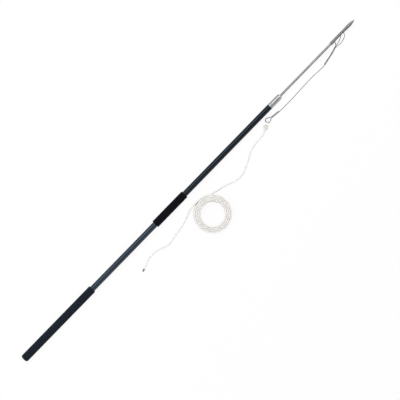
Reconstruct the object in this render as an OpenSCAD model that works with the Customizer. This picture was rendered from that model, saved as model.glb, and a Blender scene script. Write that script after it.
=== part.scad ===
/* [Pole] */
// Outside diameter of both pole tubes
pole_d = 30; // [26:0.5:34]
// Wall of the pole tubes
tube_wall = 1.6; // [1.2:0.1:2]
// Rear half, from the butt end to the joint face
rear_half_len = 1150; // [900:10:1400]
// Front tube, from the joint face to the ferrule
front_tube_len = 610; // [500:10:900]
// Radial clearance of a piece that is bonded into a tube
bond_gap = 0.05; // [0.03:0.01:0.1]

/* [Foam grips] */
// Outside diameter of the foam grips
grip_d = 41; // [37:0.5:48]
// Length of the grip that covers the butt
rear_grip_len = 490; // [300:10:600]
// Length of the grip behind the joint
mid_grip_len = 210; // [120:5:300]
// Rounding of the closed butt end
butt_round = 10; // [4:0.5:11]
// Rounding of the open grip ends
grip_edge_round = 2.5; // [1:0.25:3]
// Foam over the end of the rear tube
butt_foam = 9; // [5:0.5:14]

/* [Butt plug] */
// Flange of the plug that closes the rear tube
plug_flange = 2; // [1:0.5:4]
// Depth of the plug inside the tube
plug_depth = 25; // [10:1:40]

/* [Take-down joint] */
// Diameter of the joint's thread
thread_d = 18; // [14:0.5:19]
// Length of the thread
thread_len = 24; // [16:1:32]
// Diameter of the plain pilot ahead of the thread
pilot_d = 14; // [10:0.5:14]
// Length of the pilot
pilot_len = 14; // [8:1:20]
// Radial running clearance of the thread and pilot
thread_gap = 0.1; // [0.05:0.01:0.2]
// Length of the socket in the rear tube
socket_len = 62; // [60:1:90]
// Length of the spigot's body in the front tube
spigot_len = 50; // [30:1:80]
// Gap between the two halves when the joint is closed
joint_gap = 0.2; // [0.1:0.05:0.3]
// Cord thickness of the sealing ring
seal_cord_d = 2.2; // [1.6:0.1:2.4]

/* [Ferrule] */
// Visible length of the ferrule
ferrule_len = 75; // [60:1:100]
// Length of the ferrule's tail in the front tube
ferrule_tail = 60; // [50:1:90]
// Length of the tapered nose
nose_len = 12.5; // [10:0.5:20]
// Diameter at the front of the nose
nose_d = 23; // [20:0.5:25]
// Depth of the shaft in the ferrule
shaft_seat = 110; // [70:1:110]
// Diameter of the set screw
screw_d = 5; // [4:0.5:6]
// Distance of the set screw from the front of the nose
screw_back = 7; // [5:0.5:9]
// Depth of the screw's head below the nose
screw_sink = 0.8; // [0.4:0.1:1.5]
// Width across flats of the screw's hex recess
hex_af = 2.5; // [2:0.5:2.5]

/* [Shaft] */
// Diameter of the steel shaft
shaft_d = 12; // [11:0.5:12.5]
// Bare shaft between ferrule and dart
shaft_bare_len = 360; // [250:5:450]
// Diameter at the very front of the shaft
shaft_tip_d = 9.2; // [8:0.2:10]
// Radial clearance of the shaft in the ferrule
seat_gap = 0.05; // [0.03:0.01:0.1]

/* [Dart] */
// Length of the dart
dart_len = 170; // [160:2:200]
// Depth of the dart's socket
dart_socket = 60; // [45:1:70]
// Half width of the dart's rear lip
lip_half = 8.2; // [8:0.1:9]
// Half width of the relieved side, along the wire
relief_half = 6.4; // [6.3:0.1:7]
// Length of the blade, from its widest place to the point
blade_len = 42; // [36:1:60]
// Half width of the blade at its widest
blade_half = 8.6; // [8:0.1:12]
// Half thickness of the blade at its widest
blade_thick_half = 4.9; // [4:0.1:6]
// Radial clearance of the shaft in the dart
dart_gap = 0.1; // [0.05:0.01:0.1]
// Distance of the line hole from the dart's rear
line_hole_x = 84.5; // [78:0.5:90]
// Diameter of the line hole
line_hole_d = 4; // [3.8:0.1:4.4]
// Lean of the line hole from upright
line_hole_lean = 30; // [25:1:35]
// Distance of the line hole's axis from the dart's axis
line_hole_off = 2.2; // [2:0.1:2.4]
// Distance of the keeper's hole from the dart's rear
keeper_hole_x = 20.5; // [16:0.5:24]
// Depth of the keeper's blind hole
keeper_hole_depth = 1.3; // [0.8:0.1:1.4]

/* [Leader wire] */
// Diameter of the wire
wire_d = 3; // [2.6:0.1:3.1]
// Distance between the two wires in a sleeve
wire_pair = 3.4; // [3.4:0.1:3.8]
// Radial clearance of a wire in its sleeve or groove
wire_gap = 0.15; // [0.1:0.01:0.2]
// Wall of the crimped sleeves
sleeve_wall = 0.9; // [0.7:0.1:1.2]
// Length of the sleeve behind the dart
front_sleeve_len = 28; // [20:1:34]
// Length of the sleeve at the end of the doubled wire
mid_sleeve_len = 26; // [18:1:32]
// Length of the sleeve at the thimble
rear_sleeve_len = 41; // [30:1:44]

/* [Keeper] */
// Diameter of the elastic keeper
keeper_d = 4; // [3:0.1:4]
// Radial clearance of the keeper in its hole and sleeve
keeper_gap = 0.15; // [0.1:0.01:0.2]

/* [Thimble] */
// Radius of the wire's centre line round the thimble
eye_r = 13; // [13:0.5:15]
// Half angle of the eye's point
eye_half_angle = 26; // [22:1:30]
// Height of the thimble's band
band_h = 6; // [6:0.2:6.4]
// Thickness of the thimble's sheet
thimble_sheet = 1.2; // [0.8:0.1:1.2]
// Height of the flanges past the groove's floor
flange_rise = 2; // [1:0.1:2.4]
// Slope of the thimble, whose round end lies on the rope
thimble_slope = 15; // [15:1:17]

/* [Rope] */
// Diameter of the rope
rope_d = 8; // [7:0.1:8]
// Spacing of the turns in the coil
rope_pitch = 8.45; // [8.45:0.05:8.6]
// Spacing of the knot's wraps
knot_pitch = 8.6; // [8.55:0.05:8.8]
// Smallest radius of the coil's centre line
coil_inner_r = 62; // [56:1:64]
// Outside diameter of the sealed rope end
tip_d = 9.4; // [9.2:0.1:10]
// Length of the sealed rope end
tip_len = 15; // [10:1:20]

/* [Hidden] */
$fn = 64;
// How far a cutter runs past the face that it cuts
past = 1;

// Stations along the pole, in order from butt to tip, with the origin under the middle
overall_len = rear_half_len + front_tube_len + ferrule_len + shaft_bare_len + dart_len;
butt_x = -overall_len / 2;
joint_x = butt_x + rear_half_len;
ferrule_x = joint_x + front_tube_len;
nose_x = ferrule_x + ferrule_len;
dart_x = nose_x + shaft_bare_len;
axis_z = grip_d / 2;
pole_r = pole_d / 2;
tube_bore_r = pole_r - tube_wall;
insert_r = tube_bore_r - bond_gap;
grip_bore_r = pole_r + bond_gap;

// The joint's seat for the sealing ring
seal_r = thread_d / 2 + 0.8 + seal_cord_d / 2;
seal_seat_r = seal_r + seal_cord_d / 2 + 0.2;
seal_seat_depth = seal_cord_d + 0.1;
pilot_clear = 4;
pilot_chamfer = 2;

// The shaft and the socket of the dart share one taper
shaft_back_x = nose_x - shaft_seat;
shaft_end_gap = 0.5;
shaft_front_x = dart_x + dart_socket - shaft_end_gap;

// Sleeves: middle x, middle y, heading in degrees, length
sleeve_half_h = wire_d / 2 + wire_gap + sleeve_wall;
front_sleeve = [997.5, -33, 16, front_sleeve_len];
mid_sleeve = [934.5, -46.5, 11, mid_sleeve_len];
rear_sleeve = [569.5, -46.5, -7, rear_sleeve_len];
// What lies in a sleeve: middle to the side, middle up, radius with its clearance
wire_slot = wire_d / 2 + wire_gap;
keeper_slot = keeper_d / 2 + keeper_gap;
keeper_up = sqrt(pow(wire_slot + keeper_slot, 2) - pow(wire_pair / 2, 2));
two_wires = [[-wire_pair / 2, 0, wire_slot], [wire_pair / 2, 0, wire_slot]];
wires_and_keeper = [each two_wires, [0, keeper_up, keeper_slot]];

// The thimble's middle, found from the rear sleeve's end
throat_gap = 29.5;
thimble_cut = 22.5;
thimble_mid = sleeve_point(rear_sleeve, -rear_sleeve[3] / 2, 0)
    - throat_gap * turned_down([1, 0, 0]);
web_r = eye_r - wire_d / 2 - wire_gap;
eye_bore_r = web_r - thimble_sheet;
flange_r = web_r + flange_rise;

// The rope's knot: distances are along its axis, from the thimble's middle
knot_heading = 207;
knot_axis_z = knot_pitch + rope_d / 2;
knot_turns = 2;
knot_wrap_at = 27.4;
knot_end_at = 54;

// The coil: its middle, the angles where the rope joins and leaves it, and its turns
coil_mid = [-6, -169];
coil_start_angle = 60;
coil_end_angle = 85;
layer_turns = 4;
layers = 4;
rings_per_turn = 24;
floor_gap = 0.1;
coil_floor_z = rope_d / 2 + floor_gap;
coil_turns = layers * layer_turns + (coil_end_angle - coil_start_angle) / 360;

// Routes of the free stretches, as points chosen by hand
eye_return = [
    [1028, -24.4, 3], [1039, -23, 3.6], [1054, -19.4, 3.8], [1066, -14.5, 3.8], [1075, -9, 3.8],
    [1083, -3.7, 4]
];
eye_arch = [
    [1089.6, -20, 25], [1085.2, -23.7, 19.6], [1079.6, -26.7, 14.8], [1072.5, -29.2, 10.8],
    [1063.5, -31.2, 7.4], [1053, -32.2, 4.9], [1040, -31.8, 3.4], [1028, -30, 2.7]
];
wire_run = [
    [905, -51.8, 1.6], [870, -50.5, 1.6], [832, -48.5, 1.6], [800, -49, 1.6], [769, -49.5, 1.6],
    [740, -50.5, 1.6], [711, -51.5, 1.6], [682, -52.3, 1.6], [653, -52.6, 1.6], [625, -52.4, 1.6],
    [606, -52, 2]
];
keeper_run = [
    [1021.5, -25.8, 7], [1026.8, -22.6, 9.2], [1030.4, -18.6, 11.9], [1032.4, -14.4, 14.4],
    [1033, -10.6, 16.5]
];
lead_run = [
    [456, -72.4, 11], [443, -74.8, 7.6], [429, -75.6, 5], [412, -76, 4.1], [394, -78, 4.1],
    [373, -82, 4.1], [352, -88, 4.1], [333, -97.5, 4.1], [314, -108, 4.1], [296, -116, 4.1],
    [280, -123.5, 4.1], [263, -131.5, 4.1], [247, -137, 4.1], [230, -139.5, 4.1], [212, -138.5, 4.1],
    [193, -135, 4.1], [171, -128, 4.1], [142, -116.5, 4.1], [111, -108, 4.1], [87, -102.5, 4.1]
];
tail_run = [
    [-36, -71.5, 25.6], [-55, -72.2, 20], [-77, -76, 13.5], [-100, -84.5, 8.2],
    [-123, -93.5, 4.8], [-147, -100, 4.1], [-172, -105, 4.1], [-198, -108.5, 4.1], [-223, -112.5, 4.1],
    [-247, -117, 4.1], [-268, -118.5, 4.1], [-285, -115.5, 4.1], [-299, -110, 4.1], [-315, -103.5, 4.1],
    [-331, -99, 4.1], [-351, -96, 4.1], [-372, -95.5, 4.1], [-389, -97.5, 4.1], [-405, -102, 4.3],
    [-423, -109.5, 4.8], [-438, -115, 4.8], [-454, -120, 4.8]
];

// Directions and places
function heading(a) = [cos(a), sin(a), 0];
function across(a) = [-sin(a), cos(a), 0];
function unit(v) = v / norm(v);

// A point beside the middle of a sleeve, along it and to its left
function sleeve_point(s, along, side, up = 0) =
    [s[0], s[1], sleeve_half_h + up] + along * heading(s[2]) + side * across(s[2]);

// A point of the thimble's own frame, whose x runs down to the rear sleeve
function turned_down(p) =
    (p[0] * cos(thimble_slope) + p[2] * sin(thimble_slope)) * heading(rear_sleeve[2])
    + p[1] * across(rear_sleeve[2])
    + [0, 0, p[2] * cos(thimble_slope) - p[0] * sin(thimble_slope)];
function thimble_point(p) = thimble_mid + turned_down(p);

// A point of the knot: along its axis, to its side and above the floor
function knot_point(p) =
    [thimble_mid[0], thimble_mid[1], 0] + p[0] * heading(knot_heading)
    + p[1] * across(knot_heading) + [0, 0, p[2]];

// Distance from the coil's reversal, in turns, which is also the number of pitches outwards
function coil_reach(t) = t > layers * layer_turns ? t - (layers - 1) * layer_turns
    : abs(layer_turns - t % (2 * layer_turns));
function climb(t, at) = max(0, min(1, (t - at + 0.25) / 0.5));
function coil_layer(t) = [for (i = [1:layers - 1]) climb(t, i * layer_turns)] * [for (i = [1:layers - 1]) 1];
function coil_point(t) =
    let (r = coil_inner_r + rope_pitch * coil_reach(t), a = coil_start_angle + 360 * t)
    [coil_mid[0] + r * cos(a), coil_mid[1] + r * sin(a), coil_floor_z + rope_pitch * coil_layer(t)];
function coil_way(t) = unit(coil_point(t + 0.001) - coil_point(t));

// A swept tube: a ring at each point, square to the way there
function way(p, i) = unit(
    (i < len(p) - 1 ? unit(p[i + 1] - p[i]) : [0, 0, 0]) + (i > 0 ? unit(p[i] - p[i - 1]) : [0, 0, 0]));
function squared(v, t) = unit(v - (v * t) * t);

// A point on a bend that starts at p along d and turns towards v
function bend(p, d, v, r, a) = p + r * (sin(a) * d + (1 - cos(a)) * squared(v, d));
function frames(p) = [
    for (i = 0, n = squared([0.1, 0.2, 1], way(p, 0)); i < len(p);
        i = i + 1, n = i < len(p) ? squared(n, way(p, i)) : n) n
];
function ring(c, t, n, r, sides) = [
    for (k = [0:sides - 1]) c + r * cos(360 * k / sides) * n + r * sin(360 * k / sides) * cross(t, n)
];
module tube(p, r, sides) {
    n = frames(p);
    last = (len(p) - 1) * sides;
    polyhedron(
        points = [for (i = [0:len(p) - 1]) each ring(p[i], way(p, i), n[i], r, sides)],
        faces = [
            for (i = [0:len(p) - 2], k = [0:sides - 1])
                let (a = i * sides + k, b = i * sides + (k + 1) % sides) each
                [[a, a + sides, b], [b, a + sides, b + sides]],
            for (k = [1:sides - 2]) [0, k, k + 1],
            for (k = [1:sides - 2]) [last, last + k + 1, last + k]
        ]);
}

// The whole leader: from its cut end, through both front sleeves, round the dart's line hole,
// back through them, along the run, and round the thimble to its other cut end
function eye_point(a) = thimble_point([eye_r * cos(a), eye_r * sin(a), 0]);
eye_steps = 20;
sleeve_lead = 5;
left = wire_pair / 2;
hole_up = [0, -sin(line_hole_lean), cos(line_hole_lean)];
hole_mid = [dart_x + line_hole_x, 0, axis_z] - line_hole_off * [0, cos(line_hole_lean), sin(line_hole_lean)];
bend_reach = 8.2;
bend_steps = 6;
under_turn = 100;
over_turn = 96;
wire_route = [
    for (s = [-mid_sleeve[3] / 2 - 4, mid_sleeve[3] / 2]) sleeve_point(mid_sleeve, s, left),
    for (s = [-front_sleeve[3] / 2, front_sleeve[3] / 2 + sleeve_lead]) sleeve_point(front_sleeve, s, left),
    each eye_return,
    for (i = [bend_steps:-1:0])
        bend(hole_mid - bend_reach * hole_up, -hole_up, [-0.8, -0.6, 0], 6.5, under_turn * i / bend_steps),
    for (i = [0:bend_steps])
        bend(hole_mid + bend_reach * hole_up, hole_up, [-0.5, -0.86, -0.3], 7, over_turn * i / bend_steps),
    each eye_arch,
    for (s = [front_sleeve[3] / 2 + sleeve_lead, -front_sleeve[3] / 2]) sleeve_point(front_sleeve, s, -left),
    for (s = [mid_sleeve[3] / 2, -mid_sleeve[3] / 2 - sleeve_lead]) sleeve_point(mid_sleeve, s, -left),
    each wire_run,
    for (s = [rear_sleeve[3] / 2 + sleeve_lead, -rear_sleeve[3] / 2]) sleeve_point(rear_sleeve, s, -left),
    for (i = [0:eye_steps]) eye_point(-(90 - eye_half_angle) - i * (180 + 2 * eye_half_angle) / eye_steps),
    for (s = [-rear_sleeve[3] / 2, rear_sleeve[3] / 2 + 4]) sleeve_point(rear_sleeve, s, left)
];
// The keeper's hole looks outwards and down, where the keeper comes up to it
keeper_lean = 20.5;
keeper_way = [0, -cos(keeper_lean), -sin(keeper_lean)];
keeper_seat_r = lip_half - 0.9 - keeper_hole_depth;
keeper_route = [
    for (s = [-front_sleeve[3] / 2 - 1, front_sleeve[3] / 2, front_sleeve[3] / 2 + sleeve_lead])
        sleeve_point(front_sleeve, s, 0, keeper_up),
    each keeper_run,
    [dart_x + keeper_hole_x, 0, axis_z] + (keeper_seat_r + 0.2) * keeper_way
];

// The rope's knot: in through the wraps, under the thimble, through its eye, back over it,
// and round itself in turns that lie a pitch apart
knot_loop = [
    [21.2, 0, 11.8], [18.4, 0, 9.2], [15.2, 0, 5.9], [12.2, 0, 4.4], [8.2, 0, 4.8], [5.7, 0, 8],
    [5.2, 0, 12.5], [5.8, 0, 17.1], [8.5, 0, 20.4], [12.3, 0, 21.3], [16.6, 0.1, 21.4],
    [20.4, 0.7, 21.3], [23.6, 2.4, 20.9], [25.9, 5.1, 19.6]
];
wrap_angle = 58;
knot_route = [
    knot_point([knot_end_at, 0, knot_axis_z]),
    knot_point([24, 0, knot_axis_z]),
    for (p = knot_loop) knot_point(p),
    for (i = [0:knot_turns * rings_per_turn])
        let (t = i / rings_per_turn, a = wrap_angle + 360 * t)
        knot_point([knot_wrap_at + knot_pitch * t, knot_pitch * sin(a), knot_axis_z + knot_pitch * cos(a)]),
    knot_point([knot_wrap_at + knot_pitch * knot_turns + 3.2, knot_pitch + 1.2, knot_axis_z - 1.4])
];
coil_route = [
    coil_point(0) - rope_d * coil_way(0),
    for (i = [0:floor(coil_turns * rings_per_turn)]) coil_point(i / rings_per_turn),
    coil_point(coil_turns),
    coil_point(coil_turns) + rope_d * coil_way(coil_turns)
];
lead_route = [
    knot_route[0],
    knot_point([knot_end_at + rope_d, 0, knot_axis_z]),
    each lead_run,
    coil_point(0) - 2 * rope_d * coil_way(0),
    coil_route[0]
];
tail_route = [
    coil_route[len(coil_route) - 1],
    coil_point(coil_turns) + 2 * rope_d * coil_way(coil_turns),
    each tail_run
];

// Rounded and bored solids along the pole
module on_axis(x) {
    translate([x, 0, axis_z]) rotate([0, 90, 0]) children();
}
module pipe(x, length, r, bore_r) {
    on_axis(x) difference() {
        cylinder(h = length, r = r);
        translate([0, 0, -past]) cylinder(h = length + 2 * past, r = bore_r);
    }
}
module rounded_bar(length, r, rear_round, front_round) {
    rotate_extrude() {
        translate([0, rear_round]) square([r, length - rear_round - front_round]);
        square([r - rear_round, rear_round + past]);
        translate([0, length - front_round - past]) square([r - front_round, front_round + past]);
        intersection() {
            translate([r - rear_round, rear_round]) circle(rear_round);
            translate([r - rear_round, 0]) square([rear_round, rear_round + past]);
        }
        translate([r - front_round, length - front_round]) intersection() {
            circle(front_round);
            translate([0, -past]) square([front_round, front_round + past]);
        }
    }
}

// Rear half
module rear_grip() {
    color([0.08, 0.1, 0.12]) on_axis(butt_x) difference() {
        rounded_bar(rear_grip_len, grip_d / 2, butt_round, grip_edge_round);
        translate([0, 0, butt_foam]) cylinder(h = rear_grip_len, r = grip_bore_r);
    }
}
module butt_plug() {
    color("dimgray") on_axis(butt_x + butt_foam) {
        cylinder(h = plug_flange, r = pole_r - bond_gap);
        cylinder(h = plug_flange + plug_depth, r = insert_r);
    }
}
module rear_tube() {
    tube_x = butt_x + butt_foam + plug_flange;
    color([0.14, 0.19, 0.27]) pipe(tube_x, joint_x - tube_x, pole_r, tube_bore_r);
}
module mid_grip() {
    color([0.04, 0.04, 0.06]) on_axis(joint_x - mid_grip_len) difference() {
        rounded_bar(mid_grip_len, grip_d / 2, grip_edge_round, grip_edge_round);
        translate([0, 0, -past]) cylinder(h = mid_grip_len + 2 * past, r = grip_bore_r);
    }
}
module rear_socket() {
    bore_depth = thread_len + joint_gap + pilot_len + pilot_clear;
    color("silver") on_axis(joint_x) difference() {
        translate([0, 0, -socket_len]) cylinder(h = socket_len, r = insert_r);
        translate([0, 0, -seal_seat_depth]) cylinder(h = seal_seat_depth + past, r = seal_seat_r);
        translate([0, 0, -thread_len - 1]) cylinder(h = thread_len + 1 + past, r = thread_d / 2 + thread_gap);
        translate([0, 0, -bore_depth]) cylinder(h = bore_depth, r = pilot_d / 2 + thread_gap);
    }
}
module joint_seal() {
    color("black") on_axis(joint_x - seal_cord_d / 2 - 0.05)
        rotate_extrude() translate([seal_r, 0]) circle(seal_cord_d / 2);
}

// Front half
module front_spigot() {
    color("gainsboro") on_axis(joint_x + joint_gap) {
        cylinder(h = spigot_len, r = insert_r);
        translate([0, 0, -thread_len]) cylinder(h = thread_len + past, r = thread_d / 2);
        translate([0, 0, -thread_len - pilot_len]) cylinder(h = pilot_len + past, r = pilot_d / 2);
    }
}
module front_tube() {
    color([0.1, 0.13, 0.18])
        pipe(joint_x + joint_gap, front_tube_len - joint_gap, pole_r, tube_bore_r);
}
// The set screw's own frame: its axis points out of the nose, up and to the side
screw_lean = 45;
module at_screw() {
    translate([nose_x - screw_back, 0, axis_z]) rotate([-screw_lean, 0, 0]) children();
}
nose_r_at_screw = nose_d / 2 + (pole_d - nose_d) / 2 * screw_back / nose_len;
module front_ferrule() {
    color([0.8, 0.8, 0.82]) difference() {
        union() {
            on_axis(ferrule_x) cylinder(h = ferrule_len - nose_len, r = pole_r);
            on_axis(nose_x - nose_len) cylinder(h = nose_len, r1 = pole_r, r2 = nose_d / 2);
            on_axis(ferrule_x - ferrule_tail) cylinder(h = ferrule_tail + past, r = insert_r);
        }
        on_axis(shaft_back_x - shaft_end_gap)
            cylinder(h = shaft_seat + shaft_end_gap + past, r = shaft_d / 2 + seat_gap);
        at_screw() cylinder(h = pole_d, r = screw_d / 2 + seat_gap);
    }
}
module ferrule_screw() {
    screw_top = nose_r_at_screw - screw_sink;
    color([0.2, 0.2, 0.22]) at_screw() difference() {
        translate([0, 0, shaft_d / 2 + seat_gap])
            cylinder(h = screw_top - shaft_d / 2 - seat_gap, r = screw_d / 2);
        translate([0, 0, screw_top - hex_af]) cylinder(h = hex_af + past, d = hex_af / cos(30), $fn = 6);
    }
}
module shaft() {
    color([0.55, 0.56, 0.56]) {
        on_axis(shaft_back_x) cylinder(h = dart_x - shaft_back_x, d = shaft_d);
        on_axis(dart_x) cylinder(h = shaft_front_x - dart_x, d1 = shaft_d, d2 = shaft_tip_d);
    }
}

// The dart: stations of its outline, each with its distance from the rear,
// its half width away from the wire and on the wire's side, and its half thickness
blade_x = dart_len - blade_len;
// The blade's outline: shares of its length, of its half width and of its half thickness
blade_shape = [[0.31, 0.9, 0.82], [0.57, 0.68, 0.64], [0.79, 0.41, 0.44], [0.93, 0.17, 0.24]];
point_half = 0.3;
dart_stations = [
    [0, lip_half - 0.6, lip_half - 0.6, lip_half - 0.6],
    [1.5, lip_half, lip_half, lip_half - 0.2],
    [14, lip_half, lip_half - 0.1, lip_half - 0.4],
    [22, lip_half, lip_half - 0.6, lip_half - 0.6],
    [32, lip_half - 0.1, relief_half + 0.4, lip_half - 0.9],
    [46, lip_half - 0.1, relief_half, lip_half - 1],
    [66, lip_half - 0.1, relief_half, lip_half - 1.1],
    [line_hole_x, lip_half - 0.1, relief_half + 0.1, lip_half - 1.2],
    [blade_x - 28, lip_half, relief_half + 1, 6.6],
    [blade_x - 14, blade_half - 0.2, blade_half - 0.3, blade_thick_half + 0.9],
    [blade_x, blade_half, blade_half, blade_thick_half],
    for (s = blade_shape)
        [blade_x + blade_len * s[0], blade_half * s[1], blade_half * s[1], blade_thick_half * s[2]],
    [dart_len, point_half, point_half, point_half]
];
dart_sides = 32;
function dart_ring(s) = [
    for (k = [0:dart_sides - 1])
        let (a = 360 * k / dart_sides)
        [dart_x + s[0], cos(a) * (cos(a) > 0 ? s[1] : s[2]), axis_z + sin(a) * s[3]]
];
module dart_body() {
    last = (len(dart_stations) - 1) * dart_sides;
    polyhedron(
        points = [for (s = dart_stations) each dart_ring(s)],
        faces = [
            for (i = [0:len(dart_stations) - 2], k = [0:dart_sides - 1])
                let (a = i * dart_sides + k, b = i * dart_sides + (k + 1) % dart_sides) each
                [[a, a + dart_sides, b], [b, a + dart_sides, b + dart_sides]],
            for (k = [1:dart_sides - 2]) [0, k, k + 1],
            for (k = [1:dart_sides - 2]) [last, last + k + 1, last + k]
        ]);
}
module dart() {
    color([0.5, 0.51, 0.52]) difference() {
        dart_body();
        on_axis(dart_x)
            cylinder(h = dart_socket, r1 = shaft_d / 2 + dart_gap, r2 = shaft_tip_d / 2 + dart_gap);
        on_axis(dart_x - past) cylinder(h = past + 0.01, r = shaft_d / 2 + dart_gap);
        translate([dart_x + line_hole_x, 0, axis_z]) rotate([line_hole_lean, 0, 0])
            translate([0, -line_hole_off, 0]) cylinder(h = pole_d, d = line_hole_d, center = true);
        translate([dart_x + keeper_hole_x, 0, axis_z] + keeper_seat_r * keeper_way)
            rotate([90 + keeper_lean, 0, 0]) cylinder(h = pole_r, r = keeper_slot);
    }
}

// Wire, sleeves and thimble
module keeper() {
    color([0.2, 0.2, 0.21]) tube(keeper_route, keeper_d / 2, 8);
}
module leader_wire() {
    color([0.6, 0.61, 0.62]) tube(wire_route, wire_d / 2, 8);
}
// An outline drawn tight round circles, each grown by the same wall
function turned(a) = [cos(a), sin(a)];
module round_strands(spots, wall) {
    for (p = spots) translate([p[0], p[1]]) circle(p[2] + wall);
    for (i = [0:len(spots) - 1], j = [0:len(spots) - 1]) if (i < j) {
        p = [spots[i][0], spots[i][1]];
        q = [spots[j][0], spots[j][1]];
        a = atan2(q[1] - p[1], q[0] - p[0]);
        b = acos((spots[i][2] - spots[j][2]) / norm(q - p));
        polygon([
            p + (spots[i][2] + wall) * turned(a + b), p + (spots[i][2] + wall) * turned(a - b),
            q + (spots[j][2] + wall) * turned(a - b), q + (spots[j][2] + wall) * turned(a + b)
        ]);
    }
    if (len(spots) > 2) polygon([for (p = spots) [p[0], p[1]]]);
}
module wire_sleeve(s, spots) {
    flipped = [for (p = spots) [-p[1], p[0], p[2]]];
    color([0.7, 0.7, 0.7]) translate([s[0], s[1], sleeve_half_h]) rotate([0, 0, s[2]])
        rotate([0, 90, 0]) difference() {
            linear_extrude(s[3], center = true) round_strands(flipped, sleeve_wall);
            linear_extrude(s[3] + 2 * past, center = true) round_strands(flipped, 0);
        }
}
module wire_sleeve_front() {
    wire_sleeve(front_sleeve, wires_and_keeper);
}
module wire_sleeve_mid() {
    wire_sleeve(mid_sleeve, two_wires);
}
module wire_sleeve_rear() {
    wire_sleeve(rear_sleeve, two_wires);
}
// The thimble's outline: most of a circle, with straight sides to a point
eye_facets = 40;
module teardrop(r) {
    touch = 90 - eye_half_angle;
    polygon([
        [r / sin(eye_half_angle), 0],
        for (i = [0:eye_facets])
            let (a = touch + i * (360 - 2 * touch) / eye_facets)
            [r * cos(a), r * sin(a)]
    ]);
}
module thimble() {
    groove_h = band_h - 2 * thimble_sheet;
    color([0.75, 0.76, 0.78]) translate(thimble_mid) rotate([0, thimble_slope, rear_sleeve[2]]) difference() {
        linear_extrude(band_h, center = true) intersection() {
            teardrop(flange_r);
            translate([-2 * flange_r, -2 * flange_r]) square([2 * flange_r + thimble_cut, 4 * flange_r]);
        }
        linear_extrude(groove_h, center = true) difference() {
            translate([-2 * flange_r, -2 * flange_r]) square(4 * flange_r + thimble_cut);
            teardrop(web_r);
        }
        linear_extrude(band_h + 2 * past, center = true) teardrop(eye_bore_r);
    }
}

// Rope
module rope_knot() {
    color("whitesmoke") tube(knot_route, rope_d / 2, 6);
}
module rope_lead() {
    color("whitesmoke") tube(lead_route, rope_d / 2, 8);
}
function least_gap(p, apart) = min([
    for (i = [0:len(p) - 1 - apart], j = [i + apart:len(p) - 1]) norm(p[i] - p[j])
]) - rope_d;
module rope_coil() {
    echo(coil_least_gap = least_gap(coil_route, rings_per_turn / 2));
    echo(knot_least_gap = least_gap(knot_route, rings_per_turn / 2));
    color("whitesmoke") tube(coil_route, rope_d / 2, 6);
}
module rope_tail() {
    color("whitesmoke") tube(tail_route, rope_d / 2, 8);
}
tip_end = tail_route[len(tail_route) - 1];
tip_way = unit(tip_end - tail_route[len(tail_route) - 2]);
module rope_tip() {
    color([0.45, 0.45, 0.46]) translate(tip_end + 1.5 * tip_way)
        rotate([0, 90, atan2(tip_way[1], tip_way[0])]) difference() {
            translate([0, 0, -tip_len]) cylinder(h = tip_len, d = tip_d);
            translate([0, 0, -tip_len - past]) cylinder(h = tip_len + past - 1.4, r = rope_d / 2 + 0.1);
        }
}

rear_grip();
butt_plug();
rear_tube();
mid_grip();
rear_socket();
joint_seal();
front_spigot();
front_tube();
front_ferrule();
ferrule_screw();
shaft();
dart();
keeper();
leader_wire();
wire_sleeve_front();
wire_sleeve_mid();
wire_sleeve_rear();
thimble();
rope_knot();
rope_lead();
rope_coil();
rope_tail();
rope_tip();
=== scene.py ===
# %% [markdown]
# # A two-piece hand harpoon and its line
# This lesson dresses a harpoon that lies on a white floor, seen from straight above.
# The solids come from a CAD frame, which says where every piece is. Here each piece
# gets its fine shape and its finish: foam grips, lacquered tubes, turned alloy, steel,
# stranded wire and braided rope. Sizes are in millimetres, and MM turns them into
# metres. Walls, bores and routes repeat the CAD's values, which the frame can't tell.

# %% Load the frame
import math

import bmesh
import bpy
import numpy as np
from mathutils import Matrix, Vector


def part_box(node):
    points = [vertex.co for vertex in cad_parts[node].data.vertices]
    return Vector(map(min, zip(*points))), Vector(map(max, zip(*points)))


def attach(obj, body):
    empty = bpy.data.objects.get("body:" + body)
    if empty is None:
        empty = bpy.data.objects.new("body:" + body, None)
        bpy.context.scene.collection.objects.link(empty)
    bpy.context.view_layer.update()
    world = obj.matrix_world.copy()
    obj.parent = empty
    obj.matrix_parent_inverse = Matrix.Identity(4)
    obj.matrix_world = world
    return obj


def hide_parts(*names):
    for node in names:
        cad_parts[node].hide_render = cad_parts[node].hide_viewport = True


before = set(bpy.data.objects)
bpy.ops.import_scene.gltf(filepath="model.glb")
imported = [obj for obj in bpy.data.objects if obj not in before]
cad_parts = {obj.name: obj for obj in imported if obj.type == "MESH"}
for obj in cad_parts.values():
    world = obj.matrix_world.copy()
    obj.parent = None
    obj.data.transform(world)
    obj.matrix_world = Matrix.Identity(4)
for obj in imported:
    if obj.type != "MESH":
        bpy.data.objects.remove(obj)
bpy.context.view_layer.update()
MM = 0.001
ALONG, ASIDE, UP = np.eye(3)

# %% [markdown]
# ## The camera
# The photograph is a plan view with the pole rising to the right at about 45 degrees.
# The harpoon stays on the X axis, so the camera is turned instead. A flat projection
# would do, but a long lens from ten metres up gives the same picture and also behaves
# when the view moves. From there a lens of 180 mm shows a square of two metres.

# %% Camera straight above
# The turn is in degrees, the shift in millimetres and the height in metres
CAMERA_TURN, CAMERA_ASIDE, CAMERA_HEIGHT = -45.77, -75.4, 10


def put_in_scene(name, data):
    """A new object in the scene."""
    thing = bpy.data.objects.new(name, data)
    bpy.context.scene.collection.objects.link(thing)
    return thing


camera_data = bpy.data.cameras.new("plan_camera")
camera_data.sensor_width = 36
camera_data.lens = 180
camera_data.clip_end = 60
camera = put_in_scene("plan_camera", camera_data)
camera.location = (0, CAMERA_ASIDE * MM, CAMERA_HEIGHT)
camera.rotation_euler = (0, 0, math.radians(CAMERA_TURN))
bpy.context.scene.camera = camera
print("camera at", [round(c, 3) for c in camera.location])

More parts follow.
